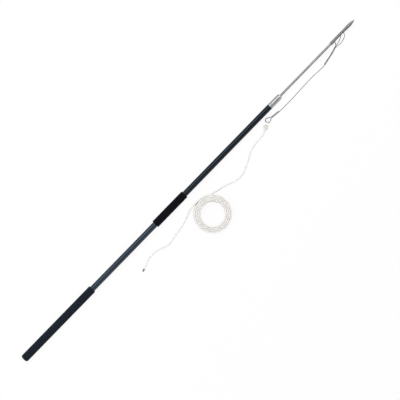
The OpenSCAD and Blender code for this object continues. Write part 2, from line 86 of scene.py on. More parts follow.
# %% [markdown]
# ## Places along the pole
# Every piece is measured from the same stations. They are read from the CAD solids, so
# that the two models can't drift apart. The pole's axis runs along X at the height of
# the grips' radius.

# %% Stations along the pole
def span(node, axis):
    """Where a CAD node starts and ends along an axis, to a tenth of a millimetre."""
    low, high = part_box(node)
    return round(low[axis] / MM, 1), round(high[axis] / MM, 1)


BUTT_X, REAR_GRIP_END = span("rear_grip", 0)
MID_GRIP_START, JOINT_X = span("mid_grip", 0)
REAR_TUBE_X = span("rear_tube", 0)[0]
SHOULDER_X, FERRULE_X = span("front_tube", 0)
NOSE_X = span("front_ferrule", 0)[1]
DART_X, DART_END = span("dart", 0)
GRIP_R = AXIS_Z = span("rear_grip", 2)[1] / 2
POLE_R = AXIS_Z - span("front_tube", 2)[0]
INSERT_R = AXIS_Z - span("rear_socket", 2)[0]
BORE_R = INSERT_R + 0.05
WIRE_R, KEEPER_R, ROPE_R = 1.5, 2.0, 4.0
SHAFT_R, SHAFT_TIP_R = 6, 4.6
print("pole from", BUTT_X, "to", DART_END, "at radius", POLE_R)


# %% Directions and rings
def heading(degrees):
    """A level direction, as an arrow on the floor."""
    angle = math.radians(degrees)
    return np.array([math.cos(angle), math.sin(angle), 0.0])


def across(degrees):
    """The level direction to the left of a heading."""
    return heading(degrees + 90)


def unit(vector):
    """The same direction with a length of one."""
    return np.asarray(vector, float) / np.linalg.norm(vector)


def squared(vector, line):
    """What is left of a direction square to a line."""
    return unit(vector - np.dot(vector, line) * line)


def around(sides):
    """Even angles once round."""
    return np.linspace(0, 2 * math.pi, sides, endpoint=False)


def ring(centre, first, second, radii, sides):
    """Points round a centre, in the plane of two directions, with one radius or one for each point."""
    angles = around(sides)[:, None]
    reach = np.broadcast_to(radii, sides)[:, None]
    return np.asarray(centre) + reach * (np.cos(angles) * first + np.sin(angles) * second)


print("a ring of four points:", ring((0, 0, 0), ALONG, ASIDE, 1, 4).round(3).tolist())

# %% [markdown]
# ## The routes of the cords
# Cords come first, because everything else may move but a rope has a fixed length. The
# leader wire starts behind the middle sleeve, runs forward through two sleeves, goes up
# through the dart's hole and comes back through both. Then it runs through the rear
# sleeve, round the thimble and back through that sleeve, where it ends. The points are
# the CAD's own, and a smooth curve through them hides their corners. In every route the
# bare numbers are points and distances in millimetres.

# %% A smooth curve through chosen points
SPAN_CUTS = 12


def smooth(points, step):
    """A curve through all points, cut into even steps of about that length."""
    points = np.asarray(points, float)
    ends = [2 * points[0] - points[1], 2 * points[-1] - points[-2]]
    padded = np.vstack([ends[0], points, ends[1]])
    samples = []
    for p0, p1, p2, p3 in zip(padded, padded[1:], padded[2:], padded[3:]):
        t1 = np.linalg.norm(p1 - p0) ** 0.5
        t2 = t1 + np.linalg.norm(p2 - p1) ** 0.5
        t3 = t2 + np.linalg.norm(p3 - p2) ** 0.5
        t = np.linspace(t1, t2, SPAN_CUTS, endpoint=False)[:, None]
        a1 = (t1 - t) / t1 * p0 + t / t1 * p1
        a2 = (t2 - t) / (t2 - t1) * p1 + (t - t1) / (t2 - t1) * p2
        a3 = (t3 - t) / (t3 - t2) * p2 + (t - t2) / (t3 - t2) * p3
        b1 = (t2 - t) / t2 * a1 + t / t2 * a2
        b2 = (t3 - t) / (t3 - t1) * a2 + (t - t1) / (t3 - t1) * a3
        samples.append((t2 - t) / (t2 - t1) * b1 + (t - t1) / (t2 - t1) * b2)
    curve = np.vstack(samples + [points[-1:]])
    along = np.append(0, np.cumsum(np.linalg.norm(np.diff(curve, axis=0), axis=1)))
    even = np.linspace(0, along[-1], int(along[-1] / step) + 1)
    return np.stack([np.interp(even, along, curve[:, i]) for i in range(3)], axis=1)


def length_of(path):
    """How long a row of points is."""
    return float(np.linalg.norm(np.diff(path, axis=0), axis=1).sum())


corner = smooth([(0, 0, 0), (10, 0, 0), (10, 10, 0)], 1.0)
print(f"a corner of 20 mm, smoothed: {length_of(corner):.1f} mm")

# %% The sleeves and the thimble, which the wire passes
# Each sleeve is its middle's x and y, its heading in degrees and its length
FRONT_SLEEVE = (997.5, -33, 16, 28)
MID_SLEEVE = (934.5, -46.5, 11, 26)
REAR_SLEEVE = (569.5, -46.5, -7, 41)
SLEEVE_WALL = 0.9
WIRE_SLOT, KEEPER_SLOT = WIRE_R + 0.15, KEEPER_R + 0.15
SLEEVE_HALF = WIRE_SLOT + SLEEVE_WALL
WIRE_ASIDE = 1.7
KEEPER_UP = math.sqrt((WIRE_SLOT + KEEPER_SLOT) ** 2 - WIRE_ASIDE ** 2)
EYE_R, EYE_HALF_ANGLE, EYE_SLOPE, THROAT_GAP = 13, 26, 15, 29.5


def sleeve_point(sleeve, along, aside, up=0.0):
    """A point beside the middle of a sleeve."""
    x, y, degrees, _ = sleeve
    return np.array([x, y, SLEEVE_HALF + up]) + along * heading(degrees) + aside * across(degrees)


def tipped(p):
    """A direction in the thimble's frame, whose x runs down to the rear sleeve."""
    slope = math.radians(EYE_SLOPE)
    level = p[0] * math.cos(slope) + p[2] * math.sin(slope)
    rise = p[2] * math.cos(slope) - p[0] * math.sin(slope)
    return level * heading(REAR_SLEEVE[2]) + p[1] * across(REAR_SLEEVE[2]) + rise * UP


THIMBLE_MID = sleeve_point(REAR_SLEEVE, -REAR_SLEEVE[3] / 2, 0) - THROAT_GAP * tipped(ALONG)
print("thimble at", THIMBLE_MID.round(2))

# %% The leader wire's route
LINE_HOLE_X, LINE_HOLE_ASIDE = 84.5, 2.2
hole_lean = math.radians(30)
HOLE_UP = np.array([0, -math.sin(hole_lean), math.cos(hole_lean)])
hole_aside = np.array([0, -HOLE_UP[2], HOLE_UP[1]])
HOLE_MID = np.array([DART_X + LINE_HOLE_X, 0, AXIS_Z]) + LINE_HOLE_ASIDE * hole_aside
HOLE_MOUTH = 8.2 * HOLE_UP
BEND_STEPS, EYE_STEPS = 6, 20


def bend(start, line, towards, radius, degrees):
    """Points on a round bend that leaves start along line and turns towards a direction."""
    turn_to = squared(np.array(towards, float), line)
    angles = [math.radians(degrees * i / BEND_STEPS) for i in range(BEND_STEPS + 1)]
    return [start + radius * (math.sin(a) * line + (1 - math.cos(a)) * turn_to) for a in angles]


def eye_point(degrees):
    """A point on the wire's ring round the thimble."""
    return THIMBLE_MID + tipped(EYE_R * heading(degrees))


front_half, mid_half, rear_half = (s[3] / 2 for s in (FRONT_SLEEVE, MID_SLEEVE, REAR_SLEEVE))
eye_first, eye_sweep = -(90 - EYE_HALF_ANGLE), 180 + 2 * EYE_HALF_ANGLE
eye_return = [(1028, -24.4, 3), (1039, -23, 3.6), (1054, -19.4, 3.8), (1066, -14.5, 3.8),
              (1075, -9, 3.8), (1083, -3.7, 4)]
eye_arch = [(1089.6, -20, 25), (1085.2, -23.7, 19.6), (1079.6, -26.7, 14.8), (1072.5, -29.2, 10.8),
            (1063.5, -31.2, 7.4), (1053, -32.2, 4.9), (1040, -31.8, 3.4), (1028, -30, 2.7)]
wire_run = [(905, -51.8, 1.6), (870, -50.5, 1.6), (832, -48.5, 1.6), (800, -49, 1.6), (769, -49.5, 1.6),
            (740, -50.5, 1.6), (711, -51.5, 1.6), (682, -52.3, 1.6), (653, -52.6, 1.6), (625, -52.4, 1.6),
            (606, -52, 2)]
wire_points = [
    *(sleeve_point(MID_SLEEVE, s, WIRE_ASIDE) for s in (-mid_half - 4, mid_half)),
    *(sleeve_point(FRONT_SLEEVE, s, WIRE_ASIDE) for s in (-front_half, front_half + 5)),
    *eye_return,
    *reversed(bend(HOLE_MID - HOLE_MOUTH, -HOLE_UP, (-0.8, -0.6, 0), 6.5, 100)),
    *bend(HOLE_MID + HOLE_MOUTH, HOLE_UP, (-0.5, -0.86, -0.3), 7, 96),
    *eye_arch,
    *(sleeve_point(FRONT_SLEEVE, s, -WIRE_ASIDE) for s in (front_half + 5, -front_half)),
    *(sleeve_point(MID_SLEEVE, s, -WIRE_ASIDE) for s in (mid_half, -mid_half - 5)),
    *wire_run,
    *(sleeve_point(REAR_SLEEVE, s, -WIRE_ASIDE) for s in (rear_half + 5, -rear_half)),
    *(eye_point(eye_first - i * eye_sweep / EYE_STEPS) for i in range(EYE_STEPS + 1)),
    *(sleeve_point(REAR_SLEEVE, s, WIRE_ASIDE) for s in (-rear_half, rear_half + 4)),
]
wire_path = smooth(wire_points, 1.3)
print(f"leader wire: {length_of(wire_path):.0f} mm, {len(wire_path)} points")

# %% The keeper's route
KEEPER_HOLE_X, KEEPER_SEAT_R = 20.5, 6.2
keeper_lean = math.radians(20.5)
KEEPER_WAY = np.array([0, -math.cos(keeper_lean), -math.sin(keeper_lean)])
KEEPER_SEAT = np.array([DART_X + KEEPER_HOLE_X, 0, AXIS_Z]) + KEEPER_SEAT_R * KEEPER_WAY
keeper_run = [(1033, -10.6, 16.5), (1032.4, -14.4, 14.4), (1030.4, -18.6, 11.9), (1026.8, -22.6, 9.2),
              (1021.5, -25.8, 7)]
keeper_points = [
    KEEPER_SEAT, *keeper_run,
    *(sleeve_point(FRONT_SLEEVE, s, 0, KEEPER_UP) for s in (front_half + 5, front_half, -front_half - 1)),
]
keeper_path = smooth(keeper_points, 1.0)
print(f"keeper: {length_of(keeper_path):.0f} mm")

# %% [markdown]
# ## The rope's route
# One rope of about nine metres runs from the knot at the thimble to its sealed end. The
# knot is the sort that fishermen use on a thimble: through the eye, back over it, and
# two wraps round the standing part. The coil has four turns in each of four layers, and
# each layer spirals in or out at a steady rate, so the turns never cut each other.

# %% The knot
KNOT_HEADING, KNOT_PITCH = 207, 8.6
KNOT_Z = KNOT_PITCH + ROPE_R
WRAP_AT, WRAPS, WRAP_STEPS, WRAP_START = 27.4, 2, 24, 58


def knot_point(along, aside, up):
    """A point measured along the knot's axis from the thimble, to its side, and off the floor."""
    level = np.array([THIMBLE_MID[0], THIMBLE_MID[1], up])
    return level + along * heading(KNOT_HEADING) + aside * across(KNOT_HEADING)


knot_loop = [(21.2, 0, 11.8), (18.4, 0, 9.2), (15.2, 0, 5.9), (12.2, 0, 4.4), (8.2, 0, 4.8), (5.7, 0, 8),
             (5.2, 0, 12.5), (5.8, 0, 17.1), (8.5, 0, 20.4), (12.3, 0, 21.3), (16.6, 0.1, 21.4),
             (20.4, 0.7, 21.3), (23.6, 2.4, 20.9), (25.9, 5.1, 19.6)]
wraps = []
for i in range(WRAPS * WRAP_STEPS + 1):
    angle = math.radians(WRAP_START + 360 / WRAP_STEPS * i)
    wraps.append(knot_point(WRAP_AT + KNOT_PITCH * i / WRAP_STEPS, KNOT_PITCH * math.sin(angle),
                            KNOT_Z + KNOT_PITCH * math.cos(angle)))
tag_end = knot_point(WRAP_AT + WRAPS * KNOT_PITCH + 3.2, KNOT_PITCH + 1.2, KNOT_Z - 1.4)
print("the rope starts at", tag_end.round(1))

# %% The coil and the free stretches
COIL_MID, COIL_INNER_R, COIL_PITCH, COIL_FLOOR_Z = np.array([-6.0, -169.0, 0.0]), 62, 8.45, 4.1
LAYERS, LAYER_TURNS, START_ANGLE, STEPS_A_TURN = 4, 4, 60, 24
CLIMB_TURNS, LEAVING_ANGLE = 0.5, 25
FULL_TURNS = LAYERS * LAYER_TURNS
COIL_TURNS = FULL_TURNS + LEAVING_ANGLE / 360


def coil_point(turns):
    """A point on the coil after a number of turns from its start."""
    reach = abs(LAYER_TURNS - turns % (2 * LAYER_TURNS))
    if turns > FULL_TURNS:
        reach = turns - FULL_TURNS + LAYER_TURNS
    climbs = [(turns - i * LAYER_TURNS) / CLIMB_TURNS + 0.5 for i in range(1, LAYERS)]
    height = COIL_FLOOR_Z + COIL_PITCH * sum(min(1, max(0, climb)) for climb in climbs)
    radius = COIL_INNER_R + COIL_PITCH * reach
    return COIL_MID + radius * heading(START_ANGLE + 360 * turns) + height * UP


def coil_way(turns):
    """The rope's direction there."""
    return unit(coil_point(turns + 0.001) - coil_point(turns))


lead_run = [(456, -72.4, 11), (443, -74.8, 7.6), (429, -75.6, 5), (412, -76, 4.1), (394, -78, 4.1),
            (373, -82, 4.1), (352, -88, 4.1), (333, -97.5, 4.1), (314, -108, 4.1), (296, -116, 4.1),
            (280, -123.5, 4.1), (263, -131.5, 4.1), (247, -137, 4.1), (230, -139.5, 4.1), (212, -138.5, 4.1),
            (193, -135, 4.1), (171, -128, 4.1), (142, -116.5, 4.1), (111, -108, 4.1), (87, -102.5, 4.1)]
tail_run = [(-36, -71.5, 25.6), (-55, -72.2, 20), (-77, -76, 13.5), (-100, -84.5, 8.2), (-123, -93.5, 4.8),
            (-147, -100, 4.1), (-172, -105, 4.1), (-198, -108.5, 4.1), (-223, -112.5, 4.1), (-247, -117, 4.1),
            (-268, -118.5, 4.1), (-285, -115.5, 4.1), (-299, -110, 4.1), (-315, -103.5, 4.1),
            (-331, -99, 4.1), (-351, -96, 4.1), (-372, -95.5, 4.1), (-389, -97.5, 4.1), (-405, -102, 4.3),
            (-423, -109.5, 4.8), (-438, -115, 4.8), (-454, -120, 4.8)]
rope_points = [
    tag_end, *reversed(wraps), *(knot_point(*p) for p in reversed(knot_loop)),
    *(knot_point(a, 0, KNOT_Z) for a in (24, 39, 54, 62)),
    *lead_run,
    *(coil_point(0) - s * ROPE_R * coil_way(0) for s in (4, 2)),
    *(coil_point(i / STEPS_A_TURN) for i in range(int(COIL_TURNS * STEPS_A_TURN) + 1)),
    coil_point(COIL_TURNS),
    *(coil_point(COIL_TURNS) + s * ROPE_R * coil_way(COIL_TURNS) for s in (2, 4)),
    *tail_run,
]
rope_path = smooth(rope_points, 2.4)
print(f"rope: {length_of(rope_path) / 1000:.2f} m, {len(rope_path)} points")

# %% [markdown]
# ## Nodes without tears
# Geometry trees and shader trees are built the same way: make a node, set its own
# settings, and give each input either a value or another node's output. A few helpers
# do this for both, which keeps the trees below short enough to read.

# %% Helpers for nodes
def add(tree, kind, inputs=None, **settings):
    """A new node. Inputs are by name or number, each a value or another node's output."""
    node = tree.nodes.new(kind)
    for name, value in settings.items():
        setattr(node, name, value)
    for key, value in (inputs or {}).items():
        if isinstance(value, bpy.types.NodeSocket):
            tree.links.new(value, node.inputs[key])
        else:
            node.inputs[key].default_value = value
    return node


def out(tree, kind, inputs=None, **settings):
    """The first output of a new node."""
    return add(tree, kind, inputs, **settings).outputs[0]


def feed(tree, node, **values):
    """Links outputs to a node's inputs. A space in an input's name is written as _."""
    for key, value in values.items():
        tree.links.new(value, node.inputs[key.replace("_", " ")])


def calc(tree, operation, *values):
    """A Math node over one, two or three values."""
    return out(tree, "ShaderNodeMath", dict(enumerate(values)), operation=operation)


def weigh(tree, first, share, second, other_share):
    """The sum of two values, each times its share."""
    return calc(tree, "MULTIPLY_ADD", first, share, calc(tree, "MULTIPLY", second, other_share))


def remap(tree, value, low=0.0, high=1.0, new_low=0.0, new_high=1.0):
    """A value between two ends, moved to between two others."""
    ends = {"From Min": low, "From Max": high, "To Min": new_low, "To Max": new_high}
    return out(tree, "ShaderNodeMapRange", {"Value": value, **ends})


def vectors(tree, operation, first, second):
    """A Vector Math node over two vectors."""
    return out(tree, "ShaderNodeVectorMath", {0: first, 1: second}, operation=operation)


def scaled(tree, vector, factor):
    """A vector times a number."""
    return out(tree, "ShaderNodeVectorMath", {0: vector, "Scale": factor}, operation="SCALE")


def noise(tree, place, scale, detail, dimensions="3D", **more):
    """Noise between 0 and 1 at a place."""
    inputs = {"Vector": place, "Scale": scale, "Detail": detail, **more}
    return add(tree, "ShaderNodeTexNoise", inputs, noise_dimensions=dimensions).outputs["Fac"]


def new_tree(name, kind, inputs, outputs):
    """A node group with named sockets, the outputs of its input node, and its output node."""
    tree = bpy.data.node_groups.new(name, kind)
    for direction, sockets in (("INPUT", inputs), ("OUTPUT", outputs)):
        for socket, socket_kind, *value in sockets:
            made = tree.interface.new_socket(socket, in_out=direction, socket_type="NodeSocket" + socket_kind)
            if value:
                made.default_value = value[0]
    return tree, add(tree, "NodeGroupInput").outputs, add(tree, "NodeGroupOutput")


node_helpers = (add, out, feed, calc, weigh, remap, vectors, scaled, noise, new_tree)
print("node helpers:", ", ".join(f.__name__ for f in node_helpers))

# %% [markdown]
# ## Finishes
# A material here is a Principled shader with a few shared effects in front of it. The
# effects are node groups: a grain that can be stretched along the pole, the cells of
# foam, the yarns of a strand, a diamond braid, and wear on rims. Each gives out one or
# two numbers, and the material decides what they do to colour, roughness and bump.

# %% Shared effects
def object_place(tree):
    """Where a point lies in the object's own coordinates."""
    return add(tree, "ShaderNodeTexCoord").outputs["Object"]


def cord_place(tree):
    """Where a point lies on a strand: its share of the way round, and its metres along."""
    uv = out(tree, "ShaderNodeUVMap", uv_map="UVMap")
    return add(tree, "ShaderNodeSeparateXYZ", {0: uv}).outputs


def grain_group():
    """Noise on object coordinates, stretched by a scale for each axis."""
    tree, given, end = new_tree(
        "Stretched grain", "ShaderNodeTree",
        [("Scale", "Vector"), ("Detail", "Float", 3.0), ("Low", "Float", 0.3), ("High", "Float", 0.7)],
        [("Value", "Float")])
    stretched = vectors(tree, "MULTIPLY", object_place(tree), given["Scale"])
    value = noise(tree, stretched, 1.0, given["Detail"])
    feed(tree, end, Value=remap(tree, value, given["Low"], given["High"]))
    return tree


def cells_group():
    """The small closed bubbles of moulded foam, and the slow mottling between them."""
    tree, given, end = new_tree("Foam cells", "ShaderNodeTree", [("Size", "Float", 0.0012)],
                                [("Height", "Float"), ("Mottle", "Float")])
    place, scale = object_place(tree), calc(tree, "DIVIDE", 1.0, given["Size"])
    bubbles = add(tree, "ShaderNodeTexVoronoi", {"Vector": place, "Scale": scale}).outputs["Distance"]
    fine = noise(tree, place, scale, 4.0)
    slow = noise(tree, place, calc(tree, "DIVIDE", scale, 9.0), 5.0, Roughness=0.7)
    feed(tree, end, Height=calc(tree, "ADD", bubbles, fine), Mottle=remap(tree, slow, 0.38, 0.66))
    return tree


def yarns_group():
    """Fine yarns that run along a strand at a slant, on the strand's own UV map."""
    tree, given, end = new_tree(
        "Strand yarns", "ShaderNodeTree", [("Around", "Float", 9.0), ("Slant", "Float", 0.4)],
        [("Height", "Float"), ("Fibre", "Float")])
    way_round, along, *_ = cord_place(tree)
    turns = calc(tree, "MULTIPLY", way_round, given["Around"])
    climb = calc(tree, "MULTIPLY", along, given["Slant"])
    phase = calc(tree, "FRACT", calc(tree, "ADD", turns, climb))
    feed(tree, end, Height=calc(tree, "SINE", calc(tree, "MULTIPLY", phase, math.pi)),
         Fibre=noise(tree, object_place(tree), 2200.0, 2.0))
    return tree


def braid_group():
    """A diamond braid on a cord's own UV map: two sets of yarn bundles that pass over and under."""
    tree, given, end = new_tree(
        "Diamond braid", "ShaderNodeTree", [("Bundles", "Float", 8.0), ("Pitch", "Float", 0.033)],
        [("Height", "Float"), ("Fibre", "Float")])
    way_round, along, *_ = cord_place(tree)
    turns = calc(tree, "MULTIPLY", way_round, given["Bundles"])
    climb = calc(tree, "MULTIPLY", calc(tree, "DIVIDE", along, given["Pitch"]), given["Bundles"])
    rounds, ridges, counts = [], [], []
    for operation in ("ADD", "SUBTRACT"):
        place = calc(tree, operation, turns, climb)
        across_bundle = calc(tree, "MULTIPLY", calc(tree, "FRACT", place), math.pi)
        rounds.append(calc(tree, "SINE", across_bundle))
        yarn_waves = calc(tree, "SINE", calc(tree, "MULTIPLY", across_bundle, 5.0))
        ridges.append(calc(tree, "ABSOLUTE", yarn_waves))
        counts.append(calc(tree, "FLOOR", place))
    over = calc(tree, "PINGPONG", calc(tree, "ADD", *counts), 1.0)
    heights = []
    for i in (0, 1):
        crown = calc(tree, "POWER", rounds[i], 0.6)
        dip = calc(tree, "MULTIPLY_ADD", rounds[1 - i], 0.7, 0.3)
        ridge = calc(tree, "MULTIPLY_ADD", ridges[i], 0.08, -0.08)
        heights.append(calc(tree, "ADD", calc(tree, "MULTIPLY", crown, dip), ridge))
    feed(tree, end, Height=out(tree, "ShaderNodeMix", {0: over, 2: heights[0], 3: heights[1]}),
         Fibre=noise(tree, object_place(tree), 1500.0, 2.0))
    return tree


def rim_group():
    """Wear on rims: the piece's own rim attribute, broken up by noise."""
    tree, given, end = new_tree("Rim wear", "ShaderNodeTree", [("Break up", "Float", 900.0)],
                                [("Mask", "Float")])
    rim = add(tree, "ShaderNodeAttribute", attribute_name="rim").outputs["Fac"]
    broken = remap(tree, noise(tree, object_place(tree), given["Break up"], 4.0), 0.42, 0.58)
    feed(tree, end, Mask=calc(tree, "MULTIPLY", rim, broken))
    return tree


grain, cells, yarns, braid, rims = grain_group(), cells_group(), yarns_group(), braid_group(), rim_group()
print("effects:", ", ".join(g.name for g in (grain, cells, yarns, braid, rims)))

# %% Building blocks of a material
def linear(red, green, blue):
    """A colour as a screen shows it, from 0 to 255, in the shader's own numbers."""
    def one(c):
        return ((c / 255 + 0.055) / 1.055) ** 2.4 if c > 10 else c / 255 / 12.92
    return one(red), one(green), one(blue), 1.0


def principled(name, **constants):
    """A material with its shader, whose constant sockets are set directly."""
    material = bpy.data.materials.new(name)
    material.use_nodes = True
    shader = material.node_tree.nodes["Principled BSDF"]
    for key, value in constants.items():
        shader.inputs[key.replace("_", " ")].default_value = value
    return material, material.node_tree, shader


def use(tree, group, **inputs):
    """The outputs of a shared effect that is placed in a material with its own values."""
    values = {key.replace("_", " "): value for key, value in inputs.items()}
    return add(tree, "ShaderNodeGroup", values, node_tree=group).outputs


def tint(tree, factor, first, second):
    """A colour between two, by a factor from 0 to 1. Each is a node's output or a screen colour."""
    ends = [linear(*c) if isinstance(c, tuple) else c for c in (first, second)]
    return add(tree, "ShaderNodeMix", {0: factor, 6: ends[0], 7: ends[1]}, data_type="RGBA").outputs[2]


def between(tree, factor, low, high):
    """A number between two, by a factor from 0 to 1."""
    return remap(tree, factor, new_low=low, new_high=high)


def bump(tree, height, relief, strength=1.0):
    """Bump from a height, whose relief is in millimetres."""
    return out(tree, "ShaderNodeBump", {"Height": height, "Distance": relief * MM, "Strength": strength})


print("screen grey 128 is", round(linear(128, 128, 128)[0], 3), "to the shader")

# %% [markdown]
# ## Foam and rubber
# The grips are closed-cell foam with a skin that wears into small pits. It is almost
# black, so its specular level is kept low: even a faint sheen would turn it grey under
# a white sky. The butt grip is a little lighter and more mottled than the middle one.

# %% Foam, rubber and plastic
def foam(name, dark, light, cell):
    """Moulded foam with pits, painted shade in the pits, and slow mottling."""
    material, tree, shader = principled(name, Roughness=0.95, Specular_IOR_Level=0.12)
    effect = use(tree, cells, Size=cell * MM)
    # The tone is painted shade where the height is low, in the pits, mixed with random mottling
    tone = weigh(tree, remap(tree, effect["Height"], 0.5, 1.3), 0.55, effect["Mottle"], 0.45)
    feed(tree, shader, Base_Color=tint(tree, tone, dark, light), Normal=bump(tree, effect["Height"], 0.5))
    return material


def plain_rubber(name, dark, light, roughness):
    """Rubber or plastic with a bloom of dust and fine mould marks."""
    material, tree, shader = principled(name, Specular_IOR_Level=0.3)
    bloom = use(tree, grain, Scale=(260, 260, 260), Detail=4.0)[0]
    feed(tree, shader, Base_Color=tint(tree, bloom, dark, light),
         Roughness=between(tree, bloom, roughness, roughness + 0.15), Normal=bump(tree, bloom, 0.04, 0.5))
    return material


butt_foam = foam("butt_foam", (10, 15, 23), (31, 38, 49), cell=1.1)
hand_foam = foam("hand_foam", (2, 2, 6), (12, 12, 21), cell=1.0)
seal_rubber = plain_rubber("seal_rubber", (10, 10, 11), (26, 26, 27), 0.35)
plug_plastic = plain_rubber("plug_plastic", (16, 16, 17), (30, 30, 32), 0.5)
print("foam and rubber ready")

# %% [markdown]
# ## Lacquered tubes
# The tubes carry a dark blue gloss. The long pale streak in the photograph is a lamp
# mirrored in the paint, so it isn't painted on, and the slate tube has a thin clear coat
# besides. Faint lengthwise lines from drawing the tube keep the streak from looking like
# plastic.

# %% Tube lacquer
def lacquer(name, deep, pale, gloss, coat):
    """Gloss paint over a drawn tube."""
    material, tree, shader = principled(name, Coat_Weight=coat, Coat_Roughness=0.14, Specular_IOR_Level=gloss)
    lines = use(tree, grain, Scale=(3, 900, 900), Detail=3.0)[0]
    clouds = use(tree, grain, Scale=(9, 25, 25), Detail=2.0)[0]
    tone = weigh(tree, lines, 0.35, clouds, 0.65)
    feed(tree, shader, Base_Color=tint(tree, tone, deep, pale),
         Roughness=between(tree, lines, 0.14, 0.2), Normal=bump(tree, lines, 0.008, 0.4))
    return material


slate_lacquer = lacquer("slate_lacquer", (7, 27, 42), (15, 40, 58), gloss=0.42, coat=0.1)
navy_lacquer = lacquer("navy_lacquer", (4, 16, 25), (9, 25, 37), gloss=0.28, coat=0.0)
print("lacquer ready")

# %% [markdown]
# ## Metals
# Seven bare metals share one recipe, from the bright turned alloy to the black screw.
# They differ in colour and gloss, and in which way the grain runs. A lathe leaves rings,
# so the grain is fine along X. A drawn bar has lines along its length, so its grain is
# fine round it. Crimps, thimble and screw have an even grain.

# %% Metal finishes
def metal(name, dark, light, rim_light, roughness, scale, relief, smudge=0.25):
    """Bare metal, rougher where dark, with a grain whose scale says which way it runs."""
    material, tree, shader = principled(name, Metallic=1.0)
    lines = use(tree, grain, Scale=scale, Detail=2.0, Low=0.25, High=0.75)[0]
    clouds = use(tree, grain, Scale=(26, 40, 40), Detail=3.0, Low=0.2, High=0.8)[0]
    tone = weigh(tree, lines, 1 - smudge, clouds, smudge)
    colour = tint(tree, use(tree, rims)[0], tint(tree, tone, dark, light), rim_light)
    feed(tree, shader, Base_Color=colour, Roughness=between(tree, tone, *roughness),
         Normal=bump(tree, lines, relief, 0.6))
    return material


turned_alloy = metal("turned_alloy", (160, 161, 162), (190, 191, 192), (226, 226, 227), (0.42, 0.32),
                     (2600, 12, 12), relief=0.012)
thread_alloy = metal("thread_alloy", (160, 160, 163), (200, 200, 203), (224, 224, 225), (0.42, 0.28),
                     (1800, 20, 20), relief=0.01)
drawn_steel = metal("drawn_steel", (136, 137, 138), (176, 177, 178), (190, 190, 191), (0.4, 0.28),
                    (8, 1300, 1300), relief=0.01)
ground_steel = metal("ground_steel", (98, 99, 102), (152, 154, 157), (186, 186, 188), (0.44, 0.3),
                     (900, 160, 160), relief=0.014, smudge=0.45)
crimp_metal = metal("crimp_metal", (124, 123, 122), (176, 174, 173), (222, 222, 221), (0.54, 0.36),
                    (520, 520, 520), relief=0.03, smudge=0.4)
eye_steel = metal("eye_steel", (88, 92, 92), (176, 180, 180), (228, 229, 230), (0.42, 0.26),
                  (420, 420, 420), relief=0.016, smudge=0.4)
black_steel = metal("black_steel", (36, 36, 38), (66, 66, 70), (96, 96, 100), (0.51, 0.36),
                    (900, 900, 900), relief=0.01)
print("metals ready")

# %% [markdown]
# ## Fibre and wire
# A strand isn't smooth: it is a bundle of yarns, or in a cable a bundle of wires. The
# strands of the wire and the keeper are made as geometry further down. The rope is one
# round strand there, and its braid is drawn on it. Every strand carries a UV map that
# runs round and along it, so that yarns and braid follow it. Their colour carries
# painted shade where yarns and bundles dip, in the grooves between them.

# %% Rope, cable and elastic
def fibre(name, deep, pale, around, slant, roughness, metallic=0.0):
    """A bundle of yarns, with painted shade in the grooves between them and random fibre tone."""
    material, tree, shader = principled(name, Metallic=metallic, Specular_IOR_Level=0.3)
    effect = use(tree, yarns, Around=around, Slant=slant)
    # painted shade: the colour darkens in the grooves between yarns, where the height is low; the fibre noise
    # adds random tone
    groove_shade_and_fibre = weigh(tree, effect["Fibre"], 0.4, effect["Height"], 0.8)
    feed(tree, shader, Base_Color=tint(tree, groove_shade_and_fibre, deep, pale),
         Roughness=between(tree, effect["Fibre"], roughness, roughness + 0.15),
         Normal=bump(tree, effect["Height"], 0.04))
    return material


def braided(name, deep, pale, relief):
    """White braid, with painted shade, darker and greyer, where a bundle dips under."""
    material, tree, shader = principled(name, Roughness=0.7, Specular_IOR_Level=0.25)
    effect = use(tree, braid, Bundles=8.0, Pitch=33 * MM)
    # painted shade: the colour darkens where a bundle dips under, mixed with random fibre tone
    groove_shade_and_fibre = weigh(tree, effect["Fibre"], 0.25, effect["Height"], 0.9)
    feed(tree, shader, Base_Color=tint(tree, groove_shade_and_fibre, deep, pale), Normal=bump(tree, effect["Height"], relief))
    return material


# The first colour of each cord is its own colour darkened as painted shade where yarns or bundles dip; the
# second is its own colour on the crowns
white_rope = braided("white_rope", (207, 204, 201), (241, 239, 235), relief=0.14)
stranded_wire = fibre("stranded_wire", (26, 27, 28), (84, 85, 86), 6, 520, roughness=0.32, metallic=1.0)
dark_elastic = fibre("dark_elastic", (38, 38, 40), (82, 82, 84), 4, 700, roughness=0.75)
shrink_sleeve = plain_rubber("shrink_sleeve", (98, 98, 100), (124, 124, 126), 0.32)
print("fibres ready")

# %% [markdown]
# ## Cords laid from strands
# Wire cable and elastic cord are the same idea at two sizes: strands that wind round a
# core. Modelling each strand by hand would be hopeless, and a striped tube looks flat
# where the light grazes it. A Geometry Nodes tree follows the route instead: it copies
# the route once per strand, swings each copy round the centre as it goes along, and
# sweeps a round section along it. The rope is one strand that doesn't swing.

# %% Helpers for geometry
def capture(tree, geometry, **fields):
    """Keeps fields on a geometry before it changes. Each field is its kind and its value."""
    kept = add(tree, "GeometryNodeCaptureAttribute")
    for name, (kind, _) in fields.items():
        kept.capture_items.new(kind, name)
    feed(tree, kept, Geometry=geometry, **{name: value for name, (_, value) in fields.items()})
    return kept.outputs


def circle(tree, sides, radius):
    """A round section."""
    inputs = {"Resolution": sides, "Radius": radius}
    return out(tree, "GeometryNodeCurvePrimitiveCircle", inputs, mode="RADIUS")


def sweep(tree, curve, section):
    """A section swept along a curve, with its ends closed."""
    return out(tree, "GeometryNodeCurveToMesh", {"Curve": curve, "Profile Curve": section, "Fill Caps": True})


def finished(tree, geometry, finish):
    """The end of every geometry tree: real geometry with its material."""
    real = out(tree, "GeometryNodeRealizeInstances", {"Geometry": geometry})
    return out(tree, "GeometryNodeSetMaterial", {"Geometry": real, "Material": finish})


print("geometry helpers:", ", ".join(f.__name__ for f in (capture, circle, sweep, finished)))

